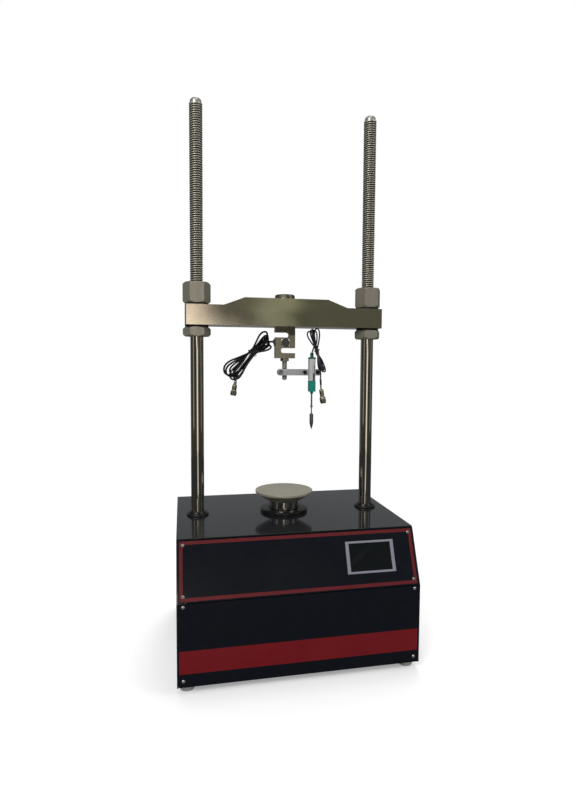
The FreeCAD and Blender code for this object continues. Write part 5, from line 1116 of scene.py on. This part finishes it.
def loading_stud():
    """The threaded stud under the cell, with its rounded loading end."""
    low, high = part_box("cell_stud")
    crest, depth, nose_high, count = (high.x - low.x) / 2, 0.0009, low.z + 0.003, 40
    nose = [(0, low.z), (crest * 0.5, low.z), (crest * 0.78, low.z + 0.0009), (crest, nose_high)]
    rows = surface(count, as_columns(nose), threaded_rod(nose_high, high.z, crest, 0.00175, depth, count, 7),
                   (0, high.z))
    place = under("cell_stud")
    piece = new_piece("loading_stud", *spun_part(*rows, place), "crosshead_group", "thread_steel",
                      "satin_nickel", sharp=50)
    mark_crest(piece, place[:2], crest - depth, crest)
    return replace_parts(piece, "cell_stud")


loading_stud()

# %% [markdown]
# ## Small screws
#
# The panels are held by button-head screws with a hexagon socket. Heads are domes, so their radius follows a
# quarter circle, and the socket is a hexagon that goes straight down. The arm has one slotted screw and two
# socket screws, made the same way with their own shapes.

# %% Screws


def button_head(radius, rise, socket, reach, shank, count=36):
    """A dome with a hexagon socket, and its shank, round the Z axis with the seat at zero."""
    lean = np.linspace(0, 0.72, 5)[:, None] * np.pi / 2
    dome = radius * np.cos(lean), rise * np.sin(lean) / np.sin(lean[-1])
    hexagon = hexagon_radius(socket, all_round(count))
    return surface(count, (0, -reach), (shank, -reach), (shank, 0), dome, (hexagon, rise),
                   (hexagon, rise * -0.4), (0, rise * -0.45))


SLOPE_TILT = math.radians(22)
SLOPE_OUT = Vector((0, -math.cos(SLOPE_TILT), math.sin(SLOPE_TILT)))
SLOPE_UP = Vector((0, math.sin(SLOPE_TILT), math.cos(SLOPE_TILT)))
FRONT_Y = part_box("lower_panel")[0].y
BACK_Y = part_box("rear_panel")[1].y
KNEE_RISE = 0.168
KNEE_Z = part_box("side_panel_left")[0].z + KNEE_RISE
DECK_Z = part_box("deck_cover")[1].z
FOOT_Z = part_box("side_panel_left")[0].z
PANEL_SCREW_RADIUS, PANEL_SCREW_EDGE = 0.0036, 0.013
ARM_SCREW_X = (0.0465, 0.0775)


def slope_point(across, up, out=0.0):
    """A point of the sloped panel's face, lifted along its normal."""
    return Vector((across, FRONT_Y, KNEE_Z)) + SLOPE_UP * up + SLOPE_OUT * out


def panel_screws():
    """The fourteen panel screws as one piece."""
    screw_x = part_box("panel_screws")[1].x - PANEL_SCREW_RADIUS
    slope_long = (DECK_Z - KNEE_Z) / math.cos(SLOPE_TILT)
    edge = PANEL_SCREW_EDGE
    spots = []
    for x in (-screw_x, screw_x):
        spots += [(slope_point(x, up), SLOPE_OUT) for up in (edge, slope_long - edge)]
        spots += [(Vector((x, FRONT_Y, z)), Vector((0, -1, 0))) for z in (FOOT_Z + edge, KNEE_Z - edge / 2)]
        spots += [(Vector((x, BACK_Y, z)), Vector((0, 1, 0)))
                  for z in (FOOT_Z + edge, (FOOT_Z + DECK_Z) / 2, DECK_Z - edge)]
    head = button_head(PANEL_SCREW_RADIUS, 0.0022, 0.0015, 0.008, 0.002)
    parts = [spun_part(*head, spot, axis) for spot, axis in spots]
    piece = new_piece("panel_button_screws", *join_points(parts), "root", "screw_steel", "screw_steel")
    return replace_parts(piece, "panel_screws")


panel_screws()


def arm_screws():
    """The arm's slotted clamp screw and its two socket screws with their nuts behind."""
    arm_low, arm_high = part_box("transducer_arm")
    z = (arm_low.z + arm_high.z) / 2
    forward = Vector((0, -1, 0))
    count = 48
    slotted = [(0, -0.020), (0.0025, -0.020), (0.0025, 0), (0.005, 0), (0.005, 0.0017), (0.0043, 0.0025)]
    face_radii = np.array([[0.0043], [0.0030], [0.0016], [0.0]])
    across = np.abs(face_radii * np.sin(all_round(count) - math.radians(38)))
    face = face_radii, 0.0025 - np.where(across < 0.00055, 0.0012, 0.0)
    new_piece("clamp_screw",
              *spun_part(*surface(count, as_columns(slotted), face), (-0.0108, arm_low.y, z), forward),
              "arm_group", "plunger_steel", "screw_steel", sharp=40)
    rows = [(0, -0.023), (0.0025, -0.023), (0.0025, 0), (0.0044, 0), (0.0044, 0.0045), (0.0039, 0.005)]
    socket = hexagon_radius(0.0021, all_round(count))
    screw = surface(count, as_columns(rows), (socket, 0.005), (socket, 0.0022), (0, 0.002))
    back_nut = nut_surface(0.0078, 0.0, 0.003, 0.0024, 0.0007, count)
    clip_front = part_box("transducer_clips")[0].y
    parts = []
    for x in ARM_SCREW_X:
        parts.append(spun_part(*screw, (x, clip_front, z), forward))
        parts.append(spun_part(*back_nut, (x, arm_high.y, z), (0, 1, 0), tube=True))
    piece = new_piece("arm_screw_set", *join_points(parts), "arm_group", "black_oxide", "black_oxide", sharp=40)
    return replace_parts(piece, "arm_screws")


arm_screws()

# %% [markdown]
# ## Plunger
#
# The plunger is a ground rod with a small stop, a thinner extension and a pointed tip. The tip is a smooth
# spindle, so its outline is a curve: the radius falls away with the square of the way to the point.

# %% Plunger


def plunger():
    """Rod, stop, extension and a spindle-shaped tip."""
    point, top = (corner.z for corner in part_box("plunger"))
    way = np.linspace(0, 1, 10)
    spindle = [(0.0045 * (1 - (1 - share) ** 1.7) + 0.0003 * (1 - share), point + 0.0184 * share)
               for share in way]
    profile = [(0, point), *spindle, (0.0045, point + 0.034), (0.0042, point + 0.0362),
               (0.0030, point + 0.0374), (0.00145, point + 0.0374), (0.00145, point + 0.0520),
               (0.0025, point + 0.0520), (0.0028, point + 0.0540), (0.0025, point + 0.0574),
               (0.00195, point + 0.0574), (0.00195, top), (0, top)]
    piece = turned("plunger_ground", profile, under("plunger"), "plunger_body", "plunger_steel",
                   "bright_nickel", 40, 0.0002)
    finish_faces(piece, face_heights(piece) < point + 0.0376, "tip_steel")
    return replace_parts(piece, "plunger")


plunger()

# %% [markdown]
# ## The cabinet
#
# The cabinet is folded sheet under gloss enamel. Folded edges are round, so the panels get a wide bevel.
# The lower front carries a red band and the sloped panel a dark red frame line. Both are films a tenth of a
# millimetre thick, so they are real thin sheets and not paint, and they catch the light at their edges.

# %% Panels
for node, finish in (("side_panel_left", "enamel"), ("side_panel_right", "enamel"), ("deck_cover", "enamel"),
                     ("lower_panel", "panel_enamel"), ("control_panel", "panel_enamel")):
    softened(node, "root", finish, 0.0008)
softened("display_frame", "root", "display_surround", 0.0006)
softened("touch_display", "root", "display_glass", 0.0005)

FILM = 0.00012


def film(name, rectangles, to_place, finish):
    """Thin sheets: each rectangle is four corners on the face, raised by the film's thickness."""
    parts = []
    for left, right, low, high in rectangles:
        corners = [(left, low), (right, low), (right, high), (left, high)]
        ring = np.array([[to_place(x, up, out) for x, up in corners] for out in (0.0, FILM)])
        inner = ring.mean(axis=1, keepdims=True) + 0 * ring
        points = np.concatenate([inner[:1], ring, inner[1:]])
        parts.append((points, grid_faces(4, 4)))
    points, faces = join_points(parts)
    return new_piece(name, points, faces, "root", finish, "gloss_black_paint")


def front_point(across, up, out=0.0):
    """A point of the lower front, lifted off it."""
    return Vector((across, FRONT_Y - out, up))


BORDER_X, BORDER_LOW, BORDER_HIGH, BORDER_WIDE = 0.2475, 0.004, 0.118, 0.0068
inner_x = BORDER_X - BORDER_WIDE
film("control_panel_border",
     [(-BORDER_X, BORDER_X, BORDER_LOW, BORDER_LOW + BORDER_WIDE),
      (-BORDER_X, BORDER_X, BORDER_HIGH - BORDER_WIDE, BORDER_HIGH),
      (-BORDER_X, -inner_x, BORDER_LOW + BORDER_WIDE, BORDER_HIGH - BORDER_WIDE),
      (inner_x, BORDER_X, BORDER_LOW + BORDER_WIDE, BORDER_HIGH - BORDER_WIDE)], slope_point, "red_border")
film("lower_panel_band", [(-0.2485, 0.2485, 0.042, 0.0885)], front_point, "red_film")
print("panels rounded, border and band laid")

# %% [markdown]
# ## Feet
#
# Each levelling foot is a turned pad with a rounded rim on a threaded stud.

# %% Levelling feet


def levelling_feet():
    """Four turned pads on threaded studs as one piece."""
    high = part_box("levelling_feet")[1]
    pad, pad_high, stud = 0.015, 0.009, 0.005
    foot_x, foot_y = high.x - pad, high.y - pad
    rows = [(0, 0), (pad - 0.0015, 0), (pad - 0.0004, 0.0004), (pad, 0.0015), (pad, 0.0065),
            (pad - 0.0006, 0.0078), (pad - 0.0025, pad_high), (stud + 0.0005, pad_high)]
    foot = surface(32, as_columns(rows), threaded_rod(pad_high, high.z, stud, 0.0015, 0.0007, 32, 7),
                   (0, high.z))
    parts = [spun_part(*foot, (foot_x * sx, foot_y * sy, 0)) for sx in (-1, 1) for sy in (-1, 1)]
    piece = new_piece("levelling_foot_set", *join_points(parts), "root", "foot_steel", "zinc_steel", sharp=45)
    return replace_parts(piece, "levelling_feet")


levelling_feet()

# %% [markdown]
# ## What the frame already has right
#
# The rear panel, the inlet, the sockets and the machinery inside keep their own meshes. They only need their
# finishes, which go straight into the nodes' material slots.

# %% Finishes of the frame's own nodes
NODE_FINISHES = {
    "zinc": ["base_plate", "frame_legs", "frame_fasteners", "power_supply"],
    "enamel": ["rear_panel"],
    "machined": ["lower_beam", "jack_housing", "jack_plate", "jack_screw", "drive_gear", "motor_pinion",
                 "screw_bearings"],
    "bronze": ["ram_bush", "ram_nut"],
    "connector_nickel": ["travel_sensors", "sensor_sockets"],
    "motor_black": ["gearmotor", "motor_drive"],
    "board_green": ["control_board"],
    "black_plastic": ["mains_inlet", "power_rocker"],
}
for finish, nodes in NODE_FINISHES.items():
    for node in nodes:
        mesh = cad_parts[node].data
        mesh.materials.clear()
        mesh.materials.append(FINISHES[finish])
print(sum(len(nodes) for nodes in NODE_FINISHES.values()), "nodes got a finish")

# %% [markdown]
# ## The floor
#
# A plain pale floor carries the shadow. Close to the feet it is an ordinary matte surface; further out it turns
# into the white background, so no horizon cuts through the picture. The change follows the distance from the
# middle and is seen only by the camera, by reflections and through glass, so it puts no light on the object.

# %% Floor


def seen_directly(tree):
    """One for rays from the camera, from a mirror or through glass, zero for the rays that only light."""
    path = tree.nodes.new("ShaderNodeLightPath")
    return combine(tree, "MAXIMUM", path.outputs["Is Camera Ray"],
                   combine(tree, "MAXIMUM", path.outputs["Is Glossy Ray"],
                           path.outputs["Is Transmission Ray"]))


def stage_mesh(name, points, faces):
    """A staged object from points and faces, with an empty material of its own."""
    mesh = bpy.data.meshes.new(name)
    mesh.from_pydata(points, [], faces)
    material = bpy.data.materials.new(name)
    material.use_nodes = True
    shader = material.node_tree.nodes["Principled BSDF"]
    shader.inputs["Roughness"].default_value = 0.9
    shader.inputs["Specular IOR Level"].default_value = 0.0
    mesh.materials.append(material)
    item = add_object(name, mesh)
    return item, material.node_tree, shader


FLOOR_REACH = 14.0
FADE_START, FADE_END = 0.45, 1.15


def make_floor():
    """A square floor whose colour turns into white light with the distance from the middle."""
    corners = [(x * FLOOR_REACH, y * FLOOR_REACH, 0) for x, y in ((-1, -1), (1, -1), (1, 1), (-1, 1))]
    _, tree, shader = stage_mesh("floor", corners, [(0, 1, 2, 3)])
    distance = tree.nodes.new("ShaderNodeVectorMath")
    distance.operation = "LENGTH"
    link(tree, tree.nodes.new("ShaderNodeTexCoord").outputs["Object"], distance.inputs[0])
    fade = combine(tree, "MULTIPLY", remap(tree, distance.outputs["Value"], FADE_START, FADE_END),
                   seen_directly(tree))
    link(tree, mix_colours(tree, fade, (0.80, 0.80, 0.80), (0.0, 0.0, 0.0)), shader.inputs["Base Color"])
    glow = mix_colours(tree, fade, (0.30, 0.30, 0.30), (1.0, 1.0, 1.0))
    shader.inputs["Emission Color"].default_value = (1, 1, 1, 1)
    link(tree, combine(tree, "MULTIPLY", glow, seen_directly(tree)), shader.inputs["Emission Strength"])


make_floor()

# %% [markdown]
# ## A room for the reflections
#
# Polished steel has no colour of its own: it shows its shape by what it mirrors. In an all-white studio it looks
# like chalk. So a dark wall stands round the object, seen by reflections only, with a tall bright window behind
# the camera and a few dimmer cards. The window becomes the thin bright line down each column, and the wall the
# dark bands beside it. A dim ceiling with one round light and a dark bench top close the room.

# %% Reflection cards
WALL_RADIUS, CARD_RADIUS = 2.8, 2.7


def card_finish(card, _, shader, colour):
    """A card glows in one colour and is seen by reflections only."""
    shader.inputs["Base Color"].default_value = (0, 0, 0, 1)
    shader.inputs["Emission Color"].default_value = (*colour, 1)
    shader.inputs["Emission Strength"].default_value = 1.0
    for ray in ("camera", "diffuse", "transmission", "volume_scatter", "shadow"):
        setattr(card, "visible_" + ray, False)


def reflection_card(name, turns, heights, colour, radius=CARD_RADIUS):
    """A strip of a cylinder between two angles and two heights; zero is straight in front, plus is right."""
    angle = np.radians(np.linspace(*turns, max(2, int(abs(turns[1] - turns[0]) / 6) + 2)))
    x, y = radius * np.sin(angle), -radius * np.cos(angle)
    points = np.stack([np.tile(x, 2), np.tile(y, 2), np.repeat(heights, len(angle))], axis=-1)
    first = np.arange(len(angle) - 1)
    faces = np.stack([first, first + 1, first + 1 + len(angle), first + len(angle)], axis=-1)
    card_finish(*stage_mesh(name, points.tolist(), faces.tolist()), colour)


WALL_TOP = 3.1
reflection_card("wall", (-180, 180), (0.0, WALL_TOP), (0.062, 0.060, 0.046), WALL_RADIUS)
reflection_card("rear_wall", (125, 235), (0.0, 2.1), (0.20, 0.205, 0.21))
reflection_card("window_low", (-13, 10), (0.0, 0.80), (1.35, 1.22, 1.13))
reflection_card("window_high", (-17, -3.6), (0.80, 1.13), (2.3, 1.92, 1.75))
reflection_card("grey_card", (16, 36), (0.70, 1.35), (0.15, 0.15, 0.115))
reflection_card("middle_card", (7, 13), (0.93, 1.30), (0.62, 0.62, 0.45))
reflection_card("left_card", (-78, -58), (0.2, 1.9), (0.40, 0.39, 0.35))
reflection_card("right_card", (62, 80), (0.2, 1.9), (0.30, 0.30, 0.27))


def level_card(name, radius, height, colour, middle=(0, 0)):
    """A level disc at one height, for what shines or stays dark above and below the object."""
    angle = np.radians(np.arange(0, 360, 10))
    ring = np.stack([middle[0] + radius * np.cos(angle), middle[1] + radius * np.sin(angle),
                     height + 0 * angle], axis=-1)
    card_finish(*stage_mesh(name, ring.tolist(), [list(range(len(angle)))]), colour)


level_card("ceiling", WALL_RADIUS, WALL_TOP, (0.20, 0.20, 0.185))
level_card("ceiling_light", 0.7, WALL_TOP - 0.1, (1.6, 1.55, 1.45), (0.1, -0.9))
level_card("dark_bench", WALL_RADIUS, 0.001, (0.045, 0.045, 0.043))
bench_glow = [(-0.42, -2.65, 0.002), (0.34, -2.65, 0.002), (0.22, -1.38, 0.002), (-0.30, -1.38, 0.002)]
card_finish(*stage_mesh("bench_glow", bench_glow, [(0, 1, 2, 3)]), (0.95, 0.90, 0.86))

# %% [markdown]
# ## Lamps
#
# Plain soft light: a large lamp from the upper left, a weaker one from the right, one above and one behind. The
# world is white where it is seen, and lights the object only gently.

# %% Lamps and world


def lamp(name, place, aim, size, power, glossy=True):
    """A square soft lamp that looks at a point; one that isn't glossy shows in no reflection."""
    data = bpy.data.lights.new(name, "AREA")
    data.shape = "SQUARE"
    data.size = size
    data.energy = power
    item = add_object(name, data)
    direction = Vector(aim) - Vector(place)
    item.matrix_world = Matrix.Translation(place) @ direction.to_track_quat("-Z", "Y").to_matrix().to_4x4()
    item.visible_glossy = glossy


lamp("key_lamp", (-1.5, -2.0, 2.3), (0, 0, 0.5), 1.2, 44)
lamp("fill_lamp", (2.1, -1.4, 1.9), (0, 0, 0.5), 1.0, 12)
lamp("top_lamp", (0.2, 0.5, 2.7), (0, 0, 0.5), 1.8, 28, glossy=False)
lamp("rear_lamp", (0.6, 2.3, 1.9), (0, 0, 0.6), 1.2, 20, glossy=False)


def studio_world():
    """White where it is seen, a gentle grey where it only lights."""
    world = bpy.data.worlds.new("studio_world")
    world.use_nodes = True
    tree = world.node_tree
    background = tree.nodes["Background"]
    link(tree, mix_colours(tree, seen_directly(tree), (0.42, 0.42, 0.43), (1.0, 1.0, 1.0)),
         background.inputs["Color"])
    bpy.context.scene.world = world


studio_world()
bpy.context.scene.view_settings.view_transform = "Standard"

# %% [markdown]
#
# The last line brings the scene up to date.

# %% Update the scene
bpy.context.view_layer.update()
